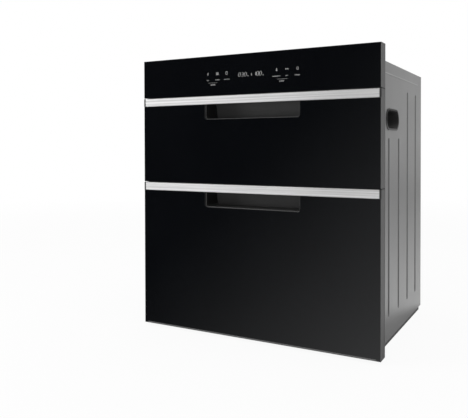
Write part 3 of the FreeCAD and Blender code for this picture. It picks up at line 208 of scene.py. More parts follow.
def brushedStrip():
    # fine lengthways brushing on a pale aluminium strip, with painted shade along its long edges
    # and left end; both strips carry a painted highlight towards the middle, and the lower one
    # is paler overall with a stronger highlight than the upper one
    look = {"dark": 0.52, "light": 0.87, "edge": 0.10, "rim": 0.0005, "end": 0.001,
            "fine": (1.0, 4.0, 0.65, (9.0, 700.0, 2400.0)), "contrast": 0.36, "soft": 0.0003,
            "broad": (1.0, 2.0, 0.5, (1.6, 90.0, 360.0)), "broadShare": 0.5,
            "left": -0.19, "right": 0.13, "fade": 0.2, "start": -0.20, "middle": 0.27,
            "lowerPaintedLight": 0.11, "lowerPaintedHighlight": 0.15, "lowSoft": 0.001,
            "metallic": 0.55, "rough": 0.36, "uneven": 0.18, "relief": (0.35, 0.00012)}
    material, shader = newMaterial("brushedStrip")
    fine = shader.noise(*look["fine"])
    broad = shader.noise(*look["broad"])
    streak = blend(fine, broad, look["broadShare"])
    across, _, up = shader.axes()
    # painted light: the lower strip is paler all along, and both strips have a painted highlight
    # in the middle
    lower = up.below(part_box("upper_front_glass")[0].z, look["lowSoft"])
    middle = across.between(look["left"], look["right"], look["fade"])
    share = streak.sharpened(look["contrast"]) + look["start"] + lower * look["lowerPaintedLight"]
    share = share + middle * (lower * look["lowerPaintedHighlight"] + look["middle"])
    colour = shader.mix(share, grey(look["dark"]), grey(look["light"]))
    # painted shade: a dark band along the long edges and at the left end of each strip
    bright = 0.0
    for name in ("upper_handle_strip", "lower_handle_strip"):
        low, high = (corner.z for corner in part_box(name))
        bright = bright + up.between(low + look["rim"], high - look["rim"], look["soft"])
    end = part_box("upper_handle_strip")[0].x + look["end"]
    bright = bright * across.above(end, look["soft"])
    colour = shader.mix(bright, grey(look["edge"]), colour)
    shader.principled({"Base Color": colour, "Metallic": look["metallic"],
                       "Roughness": look["rough"] + streak * look["uneven"],
                       "Normal": shader.bump(streak, *look["relief"])})
    return material


def casingPaint(name, level, metallic=0.3, rough=0.30, edge=None):
    # satin metallic powder coating: orange-peel relief, a fine grain and slight mottling;
    # edge is the height of a folded edge, below which a painted highlight makes the coating
    # paler
    look = {"mottle": (14.0, 3.0, 0.55), "grain": (2600.0, 1.0), "peel": (620.0, 2.0, 0.4),
            "grainShare": 0.6, "contrast": 0.6, "tones": (0.92, 1.08), "uneven": 0.10,
            "edge": 1.9, "edgeSoft": 0.0006, "grainRelief": 0.3, "relief": (0.3, 0.00004)}
    material, shader = newMaterial(name)
    mottle = shader.noise(*look["mottle"])
    grain = shader.noise(*look["grain"])
    peel = shader.noise(*look["peel"])
    share = blend(mottle, grain, look["grainShare"]).sharpened(look["contrast"])
    colour = shader.tones(share, level, look["tones"])
    if edge:
        # painted highlight: a paler band just above the lower folded edge
        foldHighlight = shader.axes()[2].below(edge, look["edgeSoft"])
        colour = shader.mix(foldHighlight, colour, grey(level * look["edge"]))
    height = peel + grain * look["grainRelief"]
    shader.principled({"Base Color": colour, "Metallic": metallic,
                       "Roughness": rough + mottle * look["uneven"],
                       "Normal": shader.bump(height, *look["relief"])})
    return material


def mouldedPlastic(name, level, grain=1500.0, rough=0.42, paintedShadeBeyond=None, paintedLightBelow=None):
    # spark-eroded mould texture; beyond a given distance from the middle it is darker, a painted
    # shade on the finger cups' side walls, and below a given height it is paler, a painted light
    # on the lower part of the carry-handle recesses
    look = {"pits": (2.0, 0.6), "patch": (22.0, 2.0), "tones": (0.8, 1.2), "uneven": 0.2,
            "paintedShadeBeyond": 0.15, "paintedShadeSoft": 0.0004, "paintedLightBelow": 5.0, "paintedLightSoft": 0.02,
            "relief": (0.4, 0.00008)}
    material, shader = newMaterial(name)
    pits = shader.noise(grain, *look["pits"])
    colour = shader.tones(shader.noise(*look["patch"]), level, look["tones"])
    if paintedShadeBeyond:
        # painted shade on the side walls of the finger cup
        sideShade = shader.axes()[0].absolute().above(paintedShadeBeyond, look["paintedShadeSoft"])
        colour = shader.mix(sideShade, colour, grey(level * look["paintedShadeBeyond"]))
    if paintedLightBelow:
        # painted light on the lower part of the carry-handle recess, where light from above
        # falls
        pale = shader.axes()[2].below(paintedLightBelow, look["paintedLightSoft"])
        colour = shader.mix(pale, colour, grey(level * look["paintedLightBelow"]))
    shader.principled({"Base Color": colour, "Roughness": rough + pits * look["uneven"],
                       "Normal": shader.bump(pits, *look["relief"])})
    return material


def rubber(name, level):
    # matt rubber with a dusty bloom and a fine grain
    look = {"bloom": (40.0, 4.0, 0.6), "grain": (1800.0, 2.0), "tones": (0.85, 1.2),
            "rough": 0.62, "uneven": 0.2, "relief": (0.3, 0.00006)}
    material, shader = newMaterial(name)
    bloom = shader.noise(*look["bloom"])
    grain = shader.noise(*look["grain"])
    shader.principled({"Base Color": shader.tones(bloom, level, look["tones"]),
                       "Roughness": look["rough"] + bloom * look["uneven"],
                       "Normal": shader.bump(grain, *look["relief"])})
    return material


def sheetSteel(name, along, level, rough=0.26, metallic=1.0):
    # brushed sheet; the brushing runs along one axis
    look = {"x": (5.0, 900.0, 900.0), "y": (900.0, 5.0, 900.0), "z": (900.0, 900.0, 5.0),
            "streak": (1.0, 3.0, 0.6), "cloud": (9.0, 3.0, 0.5), "cloudShare": 0.3,
            "contrast": 0.5, "tones": (0.88, 1.08), "streakUneven": 0.12, "cloudUneven": 0.06,
            "relief": (0.2, 0.00005)}
    material, shader = newMaterial(name)
    streak = shader.noise(*look["streak"], look[along])
    cloud = shader.noise(*look["cloud"])
    share = blend(streak, cloud, look["cloudShare"]).sharpened(look["contrast"])
    roughness = rough + streak * look["streakUneven"] + cloud * look["cloudUneven"]
    shader.principled({"Base Color": shader.tones(share, level, look["tones"]),
                       "Metallic": metallic, "Roughness": roughness,
                       "Normal": shader.bump(streak, *look["relief"])})
    return material


def brightWire():
    # electropolished wire with a duller, faintly straw-coloured heat patch here and there
    look = {"steel": (0.66, 0.66, 0.67, 1.0), "straw": (0.56, 0.52, 0.46, 1.0),
            "cloud": (34.0, 3.0, 0.55), "fine": (900.0, 2.0), "heat": (0.64, 0.12),
            "rough": 0.13, "uneven": 0.06, "heatRough": 0.08, "relief": (0.15, 0.00004)}
    material, shader = newMaterial("brightWire")
    heat = shader.noise(*look["cloud"]).above(*look["heat"])
    fine = shader.noise(*look["fine"])
    roughness = look["rough"] + fine * look["uneven"] + heat * look["heatRough"]
    shader.principled({"Base Color": shader.mix(heat, look["steel"], look["straw"]),
                       "Metallic": 1.0, "Roughness": roughness,
                       "Normal": shader.bump(fine, *look["relief"])})
    return material


def zincPlate():
    # zinc with small crystals that catch the light differently
    look = {"dull": (0.47, 0.48, 0.50, 1.0), "bright": (0.60, 0.60, 0.60, 1.0),
            "crystals": 160.0, "cloud": (16.0, 2.0), "cloudShare": 0.5,
            "rough": 0.27, "uneven": 0.14, "relief": (0.1, 0.0001)}
    material, shader = newMaterial("zincPlate")
    crystal = shader.add("ShaderNodeTexVoronoi", {"feature": "F1"},
                         {"Scale": look["crystals"]}, output=1)
    level = shader.add("ShaderNodeRGBToBW", None, {0: crystal})
    cloud = shader.noise(*look["cloud"])
    share = blend(level, cloud, look["cloudShare"])
    shader.principled({"Base Color": shader.mix(share, look["dull"], look["bright"]),
                       "Metallic": 1.0, "Roughness": look["rough"] + level * look["uneven"],
                       "Normal": shader.bump(cloud, *look["relief"])})
    return material


def castMagnet():
    # dark sintered magnet, dry and grainy
    look = {"dark": 0.03, "light": 0.075, "grain": (1400.0, 3.0, 0.7), "metallic": 0.6,
            "rough": 0.6, "uneven": 0.15, "relief": (0.4, 0.00008)}
    material, shader = newMaterial("castMagnet")
    grain = shader.noise(*look["grain"])
    colour = shader.mix(grain, grey(look["dark"]), grey(look["light"]))
    shader.principled({"Base Color": colour, "Metallic": look["metallic"],
                       "Roughness": look["rough"] + grain * look["uneven"],
                       "Normal": shader.bump(grain, *look["relief"])})
    return material


def coiledQuartz():
    # milky quartz with a heating coil showing through and bare ends
    look = {"turns": 900.0, "turnSoft": 1.2, "ends": (0.172, 0.004),
            "milk": 0.62, "tones": (0.92, 1.08), "cloud": (60.0, 2.0),
            "coil": (0.26, 0.12, 0.07, 1.0), "coilShare": 0.55,
            "rough": 0.16, "uneven": 0.1, "coat": 0.4}
    material, shader = newMaterial("coiledQuartz")
    across = shader.axes()[0]
    wave = shader.maths("SINE", across * look["turns"]).above(0.0, look["turnSoft"])
    inside = across.absolute().below(*look["ends"])
    cloud = shader.noise(*look["cloud"])
    pale = shader.tones(cloud, look["milk"], look["tones"])
    colour = shader.mix(wave * inside * look["coilShare"], pale, look["coil"])
    shader.principled({"Base Color": colour, "Coat Weight": look["coat"],
                       "Roughness": look["rough"] + cloud * look["uneven"]})
    return material


def lampTube():
    # clear quartz tube, a faint getter mirror and crimped metal caps at both ends
    look = {"glass": (0.60, 0.64, 0.68, 1.0), "metal": (0.62, 0.62, 0.62, 1.0),
            "mirror": (0.12, 0.12, 0.13, 1.0), "mirrorShare": 0.7,
            "getter": (0.112, 0.127, 0.012), "cap": (0.134, 0.0006), "cloud": (50.0, 2.0),
            "rough": 0.06, "uneven": 0.05, "capRough": 0.26}
    material, shader = newMaterial("lampTube")
    across = shader.axes()[0]
    cap = across.absolute().above(*look["cap"])
    getter = across.absolute().between(*look["getter"])
    cloud = shader.noise(*look["cloud"])
    glass = shader.mix(getter * look["mirrorShare"], look["glass"], look["mirror"])
    roughness = look["rough"] + cap * look["capRough"] + cloud * look["uneven"]
    shader.principled({"Base Color": shader.mix(cap, glass, look["metal"]),
                       "Metallic": cap, "Roughness": roughness})
    return material


def steatite():
    # unglazed ceramic: off-white, speckled, chalky
    look = {"dull": (0.66, 0.64, 0.59, 1.0), "pale": (0.76, 0.75, 0.71, 1.0),
            "fleck": (0.42, 0.38, 0.33, 1.0), "flecks": (700.0, 3.0, 0.7),
            "fleckStep": (0.66, 0.1), "fleckShare": 0.35, "cloud": (40.0, 3.0),
            "grain": (1100.0, 2.0), "rough": 0.62, "uneven": 0.15, "relief": (0.3, 0.00008)}
    material, shader = newMaterial("steatite")
    fleck = shader.noise(*look["flecks"]).above(*look["fleckStep"])
    cloud = shader.noise(*look["cloud"])
    grain = shader.noise(*look["grain"])
    pale = shader.mix(cloud, look["dull"], look["pale"])
    colour = shader.mix(fleck * look["fleckShare"], pale, look["fleck"])
    shader.principled({"Base Color": colour,
                       "Roughness": look["rough"] + cloud * look["uneven"],
                       "Normal": shader.bump(grain, *look["relief"])})
    return material


def solderMask():
    # circuit board: green mask with slightly raised copper runs and tinned pads
    look = {"mask": (0.010, 0.085, 0.035, 1.0), "run": (0.022, 0.150, 0.065, 1.0),
            "tin": (0.62, 0.60, 0.55, 1.0), "layout": {"offset": 0.5, "squash": 1.6},
            "runs": {"Scale": 130.0, "Mortar Size": 0.09, "Mortar Smooth": 0.2},
            "pads": 110.0, "padStep": (0.16, 0.02), "padMetal": 0.8,
            "rough": 0.34, "uneven": 0.08, "relief": (0.3, 0.00006)}
    material, shader = newMaterial("solderMask")
    across, deep, up = shader.axes()
    flat = shader.add("ShaderNodeCombineXYZ", None, {0: across, 1: deep + up})
    runs = shader.add("ShaderNodeTexBrick", look["layout"],
                      {"Vector": flat, **look["runs"]}, output=1)
    spots = shader.add("ShaderNodeTexVoronoi", None, {"Scale": look["pads"]})
    pads = spots.below(*look["padStep"])
    green = shader.mix(runs, look["mask"], look["run"])
    shader.principled({"Base Color": shader.mix(pads, green, look["tin"]),
                       "Metallic": pads * look["padMetal"],
                       "Roughness": look["rough"] + runs * look["uneven"],
                       "Normal": shader.bump(runs, *look["relief"])})
    return material


def mineralBoard():
    # pressed mineral fibre: short tangled fibres and a few darker shot grains
    look = {"dull": (0.50, 0.46, 0.36, 1.0), "pale": (0.72, 0.68, 0.58, 1.0),
            "shot": (0.22, 0.19, 0.15, 1.0), "fibre": (260.0, 6.0, 0.8, (1.0, 0.35, 1.8)),
            "grains": (500.0, 2.0), "grainStep": (0.7, 0.08), "rough": 0.9,
            "relief": (0.8, 0.0008)}
    material, shader = newMaterial("mineralBoard")
    fibre = shader.noise(*look["fibre"])
    shot = shader.noise(*look["grains"]).above(*look["grainStep"])
    pale = shader.mix(fibre, look["dull"], look["pale"])
    shader.principled({"Base Color": shader.mix(shot, pale, look["shot"]),
                       "Roughness": look["rough"],
                       "Normal": shader.bump(fibre, *look["relief"])})
    return material


def panelPrint(name, level, glow):
    # white screen print, or lit segments where it glows, with a slight unevenness
    look = {"cloud": (900.0, 2.0), "tones": (0.85, 1.1), "rough": 0.4, "uneven": 0.1}
    material, shader = newMaterial(name)
    cloud = shader.noise(*look["cloud"])
    colour = shader.tones(cloud, level, look["tones"])
    values = {"Base Color": colour, "Roughness": look["rough"] + cloud * look["uneven"]}
    if glow:
        values["Emission Color"] = colour
        values["Emission Strength"] = glow
    shader.principled(values)
    return material


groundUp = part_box("lower_front_glass")[0].z + 4 * mm
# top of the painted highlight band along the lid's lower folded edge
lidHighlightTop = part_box("top_cover")[0].z + 1.8 * mm

finish = {
    "glass": blackGlass("blackGlass"),
    "lowGlass": blackGlass("groundGlass", ground=groundUp),
    "strip": brushedStrip(),
    "casing": casingPaint("casingPaint", 0.187),
    "lid": casingPaint("lidPaint", 0.187, edge=lidHighlightTop),
    "plinth": casingPaint("plinthPaint", 0.08, metallic=0.0, rough=0.55),
    "frame": casingPaint("framePaint", 0.099, metallic=0.0, rough=0.55),
    "plastic": mouldedPlastic("blackPlastic", 0.012),
    "grip": mouldedPlastic("gripPlastic", 0.016, grain=1300.0, rough=0.52, paintedLightBelow=0.496),
    "cup": mouldedPlastic("cupPlastic", 0.040, grain=1100.0, paintedShadeBeyond=0.1186),
    "feet": rubber("footRubber", 0.018),
    "seal": rubber("sealRubber", 0.20),
    "liner": sheetSteel("linerSteel", "x", 0.58),
    "sidePlate": sheetSteel("plateSteel", "y", 0.56, rough=0.3),
    "wire": brightWire(),
    "zinc": zincPlate(),
    "magnet": castMagnet(),
    "heater": coiledQuartz(),
    "lamp": lampTube(),
    "ceramic": steatite(),
    "board": solderMask(),
    "aluminium": sheetSteel("millAluminium", "z", 0.60, rough=0.34),
    "insulation": mineralBoard(),
    "print": panelPrint("whitePrint", 0.55, glow=0.0),
    "dimPrint": panelPrint("dimSegments", 0.55, glow=0.20),
    "litPrint": panelPrint("litSegments", 0.60, glow=0.40),
}

# the nodes that wear each finish
worn = {
    "glass": ["control_glass", "upper_front_glass"],
    "lowGlass": ["lower_front_glass"],
    "strip": ["upper_handle_strip", "lower_handle_strip"],
    "casing": ["side_panel_left", "side_panel_right", "back_panel", "front_flange"],
    "lid": ["top_cover"],
    "plinth": ["base_pan"],
    "grip": ["carry_handle_left", "carry_handle_right"],
    "frame": ["control_frame", "upper_front_frame", "lower_front_frame"],
    "plastic": ["cord_bushing", "fan_housing", "reed_switches", "display_module",
                "ozone_generator", "upper_strip_caps", "lower_strip_caps"],
    "cup": ["upper_finger_cup", "lower_finger_cup"],
    "feet": ["rubber_feet"],
    "seal": ["upper_door_seal", "lower_door_seal"],
    "liner": ["upper_liner", "lower_liner", "upper_inner_panel", "lower_inner_panel",
              "lamp_guard", "heater_guard"],
    "sidePlate": ["upper_side_plates", "lower_side_plates"],
    "wire": ["upper_basket", "lower_basket", "plate_rack"],
    "zinc": ["upper_outer_rails", "lower_outer_rails", "upper_middle_rails",
             "lower_middle_rails", "upper_inner_rails", "lower_inner_rails", "back_screws",
             "fan_shaft", "fan_motor", "thermostats"],
    "magnet": ["upper_magnet", "lower_magnet"],
    "heater": ["heating_tubes"],
    "lamp": ["uv_lamp"],
    "ceramic": ["lamp_holders", "tube_holders"],
    "board": ["control_board", "power_board"],
    "aluminium": ["fan_impeller", "ptc_heater"],
    "insulation": ["insulation_boards"],
}
for name, members in worn.items():
    for member in members:
        materials = nodes[member].data.materials
        materials.clear()
        materials.append(finish[name])
bare = sorted(set(nodes) - {member for members in worn.values() for member in members})
print("finishes on", len(nodes) - len(bare), "nodes; without one:", bare)


# Softened edges on the sheet, glass and moulded pieces; widths are in millimetres.


softened = {
    "merge": 0.005, "segments": 2, "angle": 35.0,
    "widths": {
        0.25: ["control_glass", "upper_front_glass", "lower_front_glass",
               "upper_handle_strip", "lower_handle_strip", "upper_strip_caps",
               "lower_strip_caps"],
        0.3: ["side_panel_left", "side_panel_right", "top_cover", "back_panel", "base_pan",
              "front_flange"],
        0.5: ["upper_front_frame", "lower_front_frame", "control_frame"],
    },
}


def soften(piece, width):
    merge = piece.modifiers.new("merge", "WELD")
    merge.merge_threshold = softened["merge"] * mm
    bevel = piece.modifiers.new("edges", "BEVEL")
    bevel.width = width * mm
    bevel.segments = softened["segments"]
    bevel.limit_method = "ANGLE"
    bevel.angle_limit = math.radians(softened["angle"])
    bevel.harden_normals = True


for width, members in softened["widths"].items():
    for member in members:
        soften(nodes[member], width)
print("edges softened")


# Control panel marks: thin prints on the glass. Places are (across, up) in millimetres.


printDeep = 0.02 * mm


def bar(form, start, end, width):
    # a straight stroke between two places
    first = Vector((start[0], 0, start[1])) * mm
    last = Vector((end[0], 0, end[1])) * mm
    line = last - first
    turn = Matrix.Rotation(-math.atan2(line.z, line.x), 4, "Y")
    size = Matrix.Diagonal((line.length, printDeep, width * mm, 1.0))
    middle = (first + last) / 2
    middle.y = faceAt - printDeep / 2
    bmesh.ops.create_cube(form, size=1.0, matrix=Matrix.Translation(middle) @ turn @ size)


def outline(form, corners, width):
    for start, end in zip(corners, corners[1:] + corners[:1]):
        bar(form, start, end, width)


def ring(form, centre, radius, width, steps=24):
    # a closed stroke round a centre, from its top; the radius is (across, up)
    places = []
    for step in range(steps + 1):
        angle = math.radians(90.0 + 360.0 * step / steps)
        places.append((centre[0] + radius[0] * math.cos(angle),
                       centre[1] + radius[1] * math.sin(angle)))
    for start, end in zip(places, places[1:]):
        bar(form, start, end, width)


def word(form, text, centre, wide, tall):
    # small lettering, made a mesh and laid on the glass at the given size
    curve = bpy.data.curves.new("word", "FONT")
    curve.body = text
    holder = newObject("word", curve)
    bpy.context.view_layer.update()
    graph = bpy.context.evaluated_depsgraph_get()
    mesh = bpy.data.meshes.new_from_object(holder.evaluated_get(graph))
    bpy.data.objects.remove(holder)
    low = [min(vertex.co[axis] for vertex in mesh.vertices) for axis in (0, 1)]
    high = [max(vertex.co[axis] for vertex in mesh.vertices) for axis in (0, 1)]
    middle = Vector(((low[0] + high[0]) / 2, (low[1] + high[1]) / 2, 0.0))
    size = (wide * mm / (high[0] - low[0]), tall * mm / (high[1] - low[1]), 1.0, 1.0)
    turn = Matrix.Rotation(math.radians(90), 4, "X")
    place = Matrix.Translation((centre[0] * mm, faceAt - printDeep, centre[1] * mm))
    mesh.transform(place @ turn @ Matrix.Diagonal(size) @ Matrix.Translation(-middle))
    form.from_mesh(mesh)
    bpy.data.meshes.remove(mesh)


# the icons, with heights above or below the level of their middles
iconShapes = {
    "level": 615.2, "line": 0.6,
    "flash": [(-110.3, 3.4), (-112.8, -0.3), (-111.4, -0.3), (-112.2, -3.4), (-109.7, 0.5),
              (-111.1, 0.5)],
    "tiles": {"rows": 3, "left": -87.9, "low": -2.3, "across": 2.2, "up": 2.1,
              "half": 0.7, "thick": 1.2},
    "power": [(-61.0, 0.0), (2.4, 3.7)],
    "cone": [(63.9, -2.7), (66.7, -2.7), (65.3, 3.2)],
    "coneBar": [(64.2, -2.2), (66.4, -2.2)],
    "bow": [(86.8, -1.3), (86.8, 1.3), (93.2, -1.3), (93.2, 1.3)],
    "bowBar": [(87.6, 0.0), (92.4, 0.0)],
    "clock": [(115.3, 0.0), (2.1, 2.9)],
    "clockHand": [(115.3, 0.0), (115.3, 1.2)],
}


def icons():
    form = bmesh.new()
    line, tiles = iconShapes["line"], iconShapes["tiles"]

    def raised(places):
        return [(across, iconShapes["level"] + up) for across, up in places]

    def disc(name):
        centre, radius = iconShapes[name]
        ring(form, *raised([centre]), radius, line)

    outline(form, raised(iconShapes["flash"]), line)
    for column in range(tiles["rows"]):
        for row in range(tiles["rows"]):
            across = tiles["left"] + tiles["across"] * column
            up = tiles["low"] + tiles["up"] * row
            ends = [(across - tiles["half"], up), (across + tiles["half"], up)]
            bar(form, *raised(ends), tiles["thick"])
    disc("power")
    for name in ("cone", "bow"):
        outline(form, raised(iconShapes[name]), line)
        bar(form, *raised(iconShapes[name + "Bar"]), line)
    disc("clock")
    bar(form, *raised(iconShapes["clockHand"]), line / 2)
    return form


# each word is (text, across, width), and each bracket runs from left to right
panelWords = {
    "labels": [("UV", -111.5, 6.2), ("WARM", -85.8, 11.6), ("ON/OFF", -60.4, 14.3),
               ("DISINFECT", 64.9, 19.0), ("DRY", 89.8, 6.7), ("TIMER", 114.7, 13.3)],
    "labelUp": 600.7, "labelTall": 2.1,
    "groups": [("UPPER", -97.8, 12.4), ("LOWER", 77.7, 11.0)],
    "groupUp": 589.5, "groupTall": 2.9,
    "brackets": [(-110.0, -87.0), (66.5, 91.2)],
    "bracketUp": 594.1, "bracketLine": 0.3,
}


def lettering():
    form = bmesh.new()
    for kind in ("label", "group"):
        up, tall = panelWords[kind + "Up"], panelWords[kind + "Tall"]
        for text, across, wide in panelWords[kind + "s"]:
            word(form, text, (across, up), wide, tall)
    up = panelWords["bracketUp"]
    for left, right in panelWords["brackets"]:
        bar(form, (left, up), (right, up), panelWords["bracketLine"])
    return form


# the strokes of a seven-segment digit, in parts of its width and height
segments = {
    "top": ((0.2, 1.0), (0.8, 1.0)), "middle": ((0.2, 0.5), (0.8, 0.5)),
    "foot": ((0.2, 0.0), (0.8, 0.0)),
    "upLeft": ((0.0, 0.5), (0.0, 0.9)), "upRight": ((1.0, 0.5), (1.0, 0.9)),
    "lowLeft": ((0.0, 0.1), (0.0, 0.5)), "lowRight": ((1.0, 0.1), (1.0, 0.5)),
}
digitShapes = {
    "0": ["top", "upLeft", "upRight", "lowLeft", "lowRight", "foot"],
    "1": ["upRight", "lowRight"],
    "3": ["top", "upRight", "middle", "lowRight", "foot"],
}
# each digit is (character, its left side), and each word (text, centre, width, height)
display = {
    "low": 605.2, "tall": 8.8, "wide": 4.9, "stroke": 0.55, "slant": 0.18,
    "time": [("0", -30.5), ("3", -23.0), ("0", -15.5)],
    "minutes": ("m", (-5.5, 605.4), 3.0, 1.8),
    "bulb": ((3.1, 606.9), (0.8, 0.8), 0.6),
    "stem": ((3.1, 607.6), (3.1, 611.4), 0.7),
    "heat": [("1", 8.3), ("0", 15.6), ("0", 22.6)],
    "degrees": ("\u00b0C", (32.0, 605.6), 2.8, 2.6),
}


def figures(form, digits):
    tall, wide = display["tall"], display["wide"]
    for character, left in digits:
        for name in digitShapes[character]:
            ends = [(left + across * wide + up * tall * display["slant"],
                     display["low"] + up * tall) for across, up in segments[name]]
            bar(form, *ends, display["stroke"])


def timeShown():
    form = bmesh.new()
    figures(form, display["time"])
    word(form, *display["minutes"])
    ring(form, *display["bulb"])
    bar(form, *display["stem"])
    return form


def heatShown():
    form = bmesh.new()
    figures(form, display["heat"])
    word(form, *display["degrees"])
    return form


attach(newPiece("panelIcons", icons(), finish["print"]), "cabinet")
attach(newPiece("panelLettering", lettering(), finish["print"]), "cabinet")
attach(newPiece("displayTime", timeShown(), finish["dimPrint"]), "cabinet")
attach(newPiece("displayHeat", heatShown(), finish["litPrint"]), "cabinet")
print("control panel marks made")


# Stage: camera, world, floor, lamps and cards.


# right, up and ahead are the ways the camera's own axes point in the room
camera = {
    "place": (0.6237, -1.4392, 0.4481),
    "right": (0.87719, 0.48013, -0.00222),
    "up": (-0.00564, 0.01494, 0.99987),
    "ahead": (-0.48011, 0.87707, -0.01582),
    "lens": 46.20, "sensor": 36.0, "shift": (-0.00546, -0.11526), "clip": (0.05, 60.0),
}
eye = Vector(camera["place"])


def setCamera():
    lens = bpy.data.cameras.new("camera")
    holder = newObject("camera", lens)
    right, up = Vector(camera["right"]), Vector(camera["up"])
    back = -Vector(camera["ahead"])
    turn = Matrix((right, up, back)).transposed().to_4x4()
    holder.matrix_world = Matrix.Translation(eye) @ turn
    lens.lens = camera["lens"]
    lens.sensor_width = camera["sensor"]
    lens.shift_x, lens.shift_y = camera["shift"]
    lens.clip_start, lens.clip_end = camera["clip"]
    bpy.context.scene.camera = holder


def seen(shader):
    # 1 where the eye, a reflection or clear glass looks
    rays = shader.add("ShaderNodeLightPath").socket.node.outputs
    total = Link(shader, rays["Is Camera Ray"]) + Link(shader, rays["Is Glossy Ray"])
    total = total + Link(shader, rays["Is Transmission Ray"])
    return shader.maths("MINIMUM", total, 1.0)


# ambient lights the object; lift is how white the near floor is seen, and far is where
# and how softly it gives way to plain white
stage = {
    "ambient": 0.50, "floor": 0.80, "tones": (0.99, 1.01), "cloth": (3.0, 2.0),
    "rough": 0.9, "lift": 0.93, "size": 16.0, "far": (2.6, 3.0),
}


def makeWorld():
    world = bpy.data.worlds.new("studio")
    bpy.context.scene.world = world
    world.use_nodes = True
    shader = Shader(world.node_tree)
    colour = shader.mix(seen(shader), grey(stage["ambient"]), grey(1.0))
    background = shader.add("ShaderNodeBackground", None, {"Color": colour, "Strength": 1.0})
    shader.add("ShaderNodeOutputWorld", None, {0: background})


def makeFloor():
    # pale matt cloth that keeps its shadow, and is lifted to white where it is seen
    form = bmesh.new()
    bmesh.ops.create_grid(form, x_segments=1, y_segments=1, size=stage["size"])
    material, shader = newMaterial("paleFloor")
    across, deep, _ = shader.axes()
    far = shader.maths("SQRT", across * across + deep * deep).above(*stage["far"])
    colour = shader.tones(shader.noise(*stage["cloth"]), stage["floor"], stage["tones"])
    values = {"Base Color": colour, "Roughness": stage["rough"], "Specular IOR Level": 0.0}
    matt = shader.add("ShaderNodeBsdfPrincipled", None, values)
    white = shader.add("ShaderNodeEmission", None, {"Color": grey(1.0), "Strength": 1.0})
    share = seen(shader) * (stage["lift"] + far * (1 - stage["lift"]))
    shader.finish(shader.add("ShaderNodeMixShader", None, {0: share, 1: matt, 2: white}))
    newPiece("floor", form, material)


# places, aims and sizes in metres
softboxes = {
    "leftBox": {"place": (-2.1, -1.8, 1.7), "aim": (-0.1, -0.2, 0.4),
                "size": (1.6, 1.2), "watts": 24.0},
    "lowBox": {"place": (-1.75, -1.3, 0.42), "aim": (-0.1, -0.235, 0.40),
               "size": (0.7, 0.7), "watts": 7.5},
    "frontBox": {"place": (0.27, -2.4, 0.40), "aim": (0.0, -0.235, 0.35),
                 "size": (1.0, 0.7), "watts": 7.5},
    "rightBox": {"place": (2.4, 0.2, 1.7), "aim": (0.2, 0.0, 0.35),
                 "size": (1.6, 1.4), "watts": 14.0},
    "topBox": {"place": (0.0, 0.2, 2.6), "aim": (0.0, 0.0, 0.3),
               "size": (1.8, 1.8), "watts": 20.0},
}


def softbox(name, place, aim, size, watts):
    light = bpy.data.lights.new(name, "AREA")
    light.shape = "RECTANGLE"
    light.size, light.size_y = size
    light.energy = watts
    place = Vector(place)
    turn = (Vector(aim) - place).to_track_quat("-Z", "Y").to_matrix().to_4x4()
    newObject(name, light).matrix_world = Matrix.Translation(place) @ turn


def card(name, panes, white, paint):
    # a studio card that only reflections show; each pane is (middle, size, turn)
    form = bmesh.new()
    for middle, size, turn in panes:
        scale = Matrix.Diagonal((size[0], size[1], 1.0, 1.0))
        place = Matrix.Translation(middle) @ turn @ scale
        bmesh.ops.create_grid(form, x_segments=1, y_segments=1, size=0.5, matrix=place)
    material, shader = newMaterial(name)
    colour = shader.mix(paint(shader), grey(0.0), grey(white))
    shader.finish(shader.add("ShaderNodeEmission", None, {"Color": colour}))
    piece = newPiece(name, form, material)
    for way in ("camera", "diffuse", "transmission", "volume_scatter", "shadow"):
        setattr(piece, "visible_" + way, False)


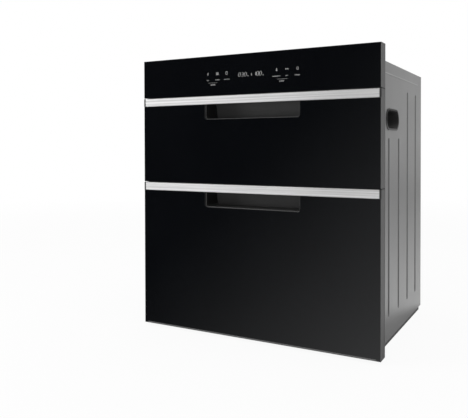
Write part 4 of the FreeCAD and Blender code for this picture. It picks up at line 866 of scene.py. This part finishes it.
def frontCard():
    # black at the left and top, paler to the right and below, for the black glass
    look = {"wall": -2.2, "near": -0.25, "left": -2.0, "right": 1.1, "tall": 2.4,
            "lift": 0.003, "pale": 0.77,
            "down": 0.841, "across": 0.744, "start": 0.585, "curve": 1.96}
    across = (look["left"] + look["right"]) / 2
    wide = look["right"] - look["left"]
    deep = look["near"] - look["wall"]
    flat = Matrix.Identity(4)
    upright = Matrix.Rotation(math.radians(90), 4, "X")
    panes = [
        ((across, look["wall"], look["tall"] / 2), (wide, look["tall"]), upright),
        ((across, look["near"] - deep / 2, look["lift"]), (wide, deep), flat),
    ]
    left, top = glassLow.x, glassHigh.z
    size = (glassHigh.x - left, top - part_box("lower_front_glass")[0].z)

    def paint(shader):
        # right and down are shares of the front's width and height
        x, y, z = shader.axes()
        share = (faceAt - eye.y) / (2 * faceAt - eye.y - y)
        right = ((x - eye.x) * share + (eye.x - left)) * (1 / size[0])
        down = ((top - eye.z) - (z - eye.z) * share) * (1 / size[1])
        rise = right * look["across"] + down * look["down"] - look["start"]
        return shader.maths("POWER", shader.maths("MAXIMUM", rise, 0.0), look["curve"])

    card("frontCard", panes, look["pale"], paint)


def sideCard():
    # dark above, white low down and grey beside the plinth, for the satin side
    look = {"right": 3.0, "near": -0.235, "far": 7.0, "tall": 3.0, "start": 0.25,
            "lift": 0.003, "white": 1.12, "high": 0.03, "turn": 0.31, "soft": 0.46,
            "low": 0.053, "lowSlope": 0.18, "lowSoft": 0.02, "dark": 0.31}
    middle = (look["near"] + look["far"]) / 2
    long = look["far"] - look["near"]
    wide = look["right"] - look["start"]
    flat = Matrix.Identity(4)
    upright = Matrix.Rotation(math.radians(90), 4, "Y")
    panes = [
        ((look["right"], middle, look["tall"] / 2), (look["tall"], long), upright),
        ((look["start"] + wide / 2, middle, look["lift"]), (wide, long), flat),
    ]
    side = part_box("side_panel_right")[1].x

    def paint(shader):
        # behind and above are the place on the side that shows the point
        x, y, z = shader.axes()
        share = (eye.x - side) / (x + (eye.x - 2 * side))
        behind = (y - eye.y) * share + eye.y
        above = (z - eye.z) * share + eye.z
        level = look["high"] + above.below(look["turn"], look["soft"]) * (1.0 - look["high"])
        low = (above + behind * look["lowSlope"]).below(look["low"], look["lowSoft"])
        return level * (1.0 - low * (1.0 - look["dark"]))

    card("sideCard", panes, look["white"], paint)


bpy.context.scene.view_settings.view_transform = "Standard"
setCamera()
makeWorld()
makeFloor()
frontCard()
sideCard()
for name, look in softboxes.items():
    softbox(name, **look)
print("stage set")
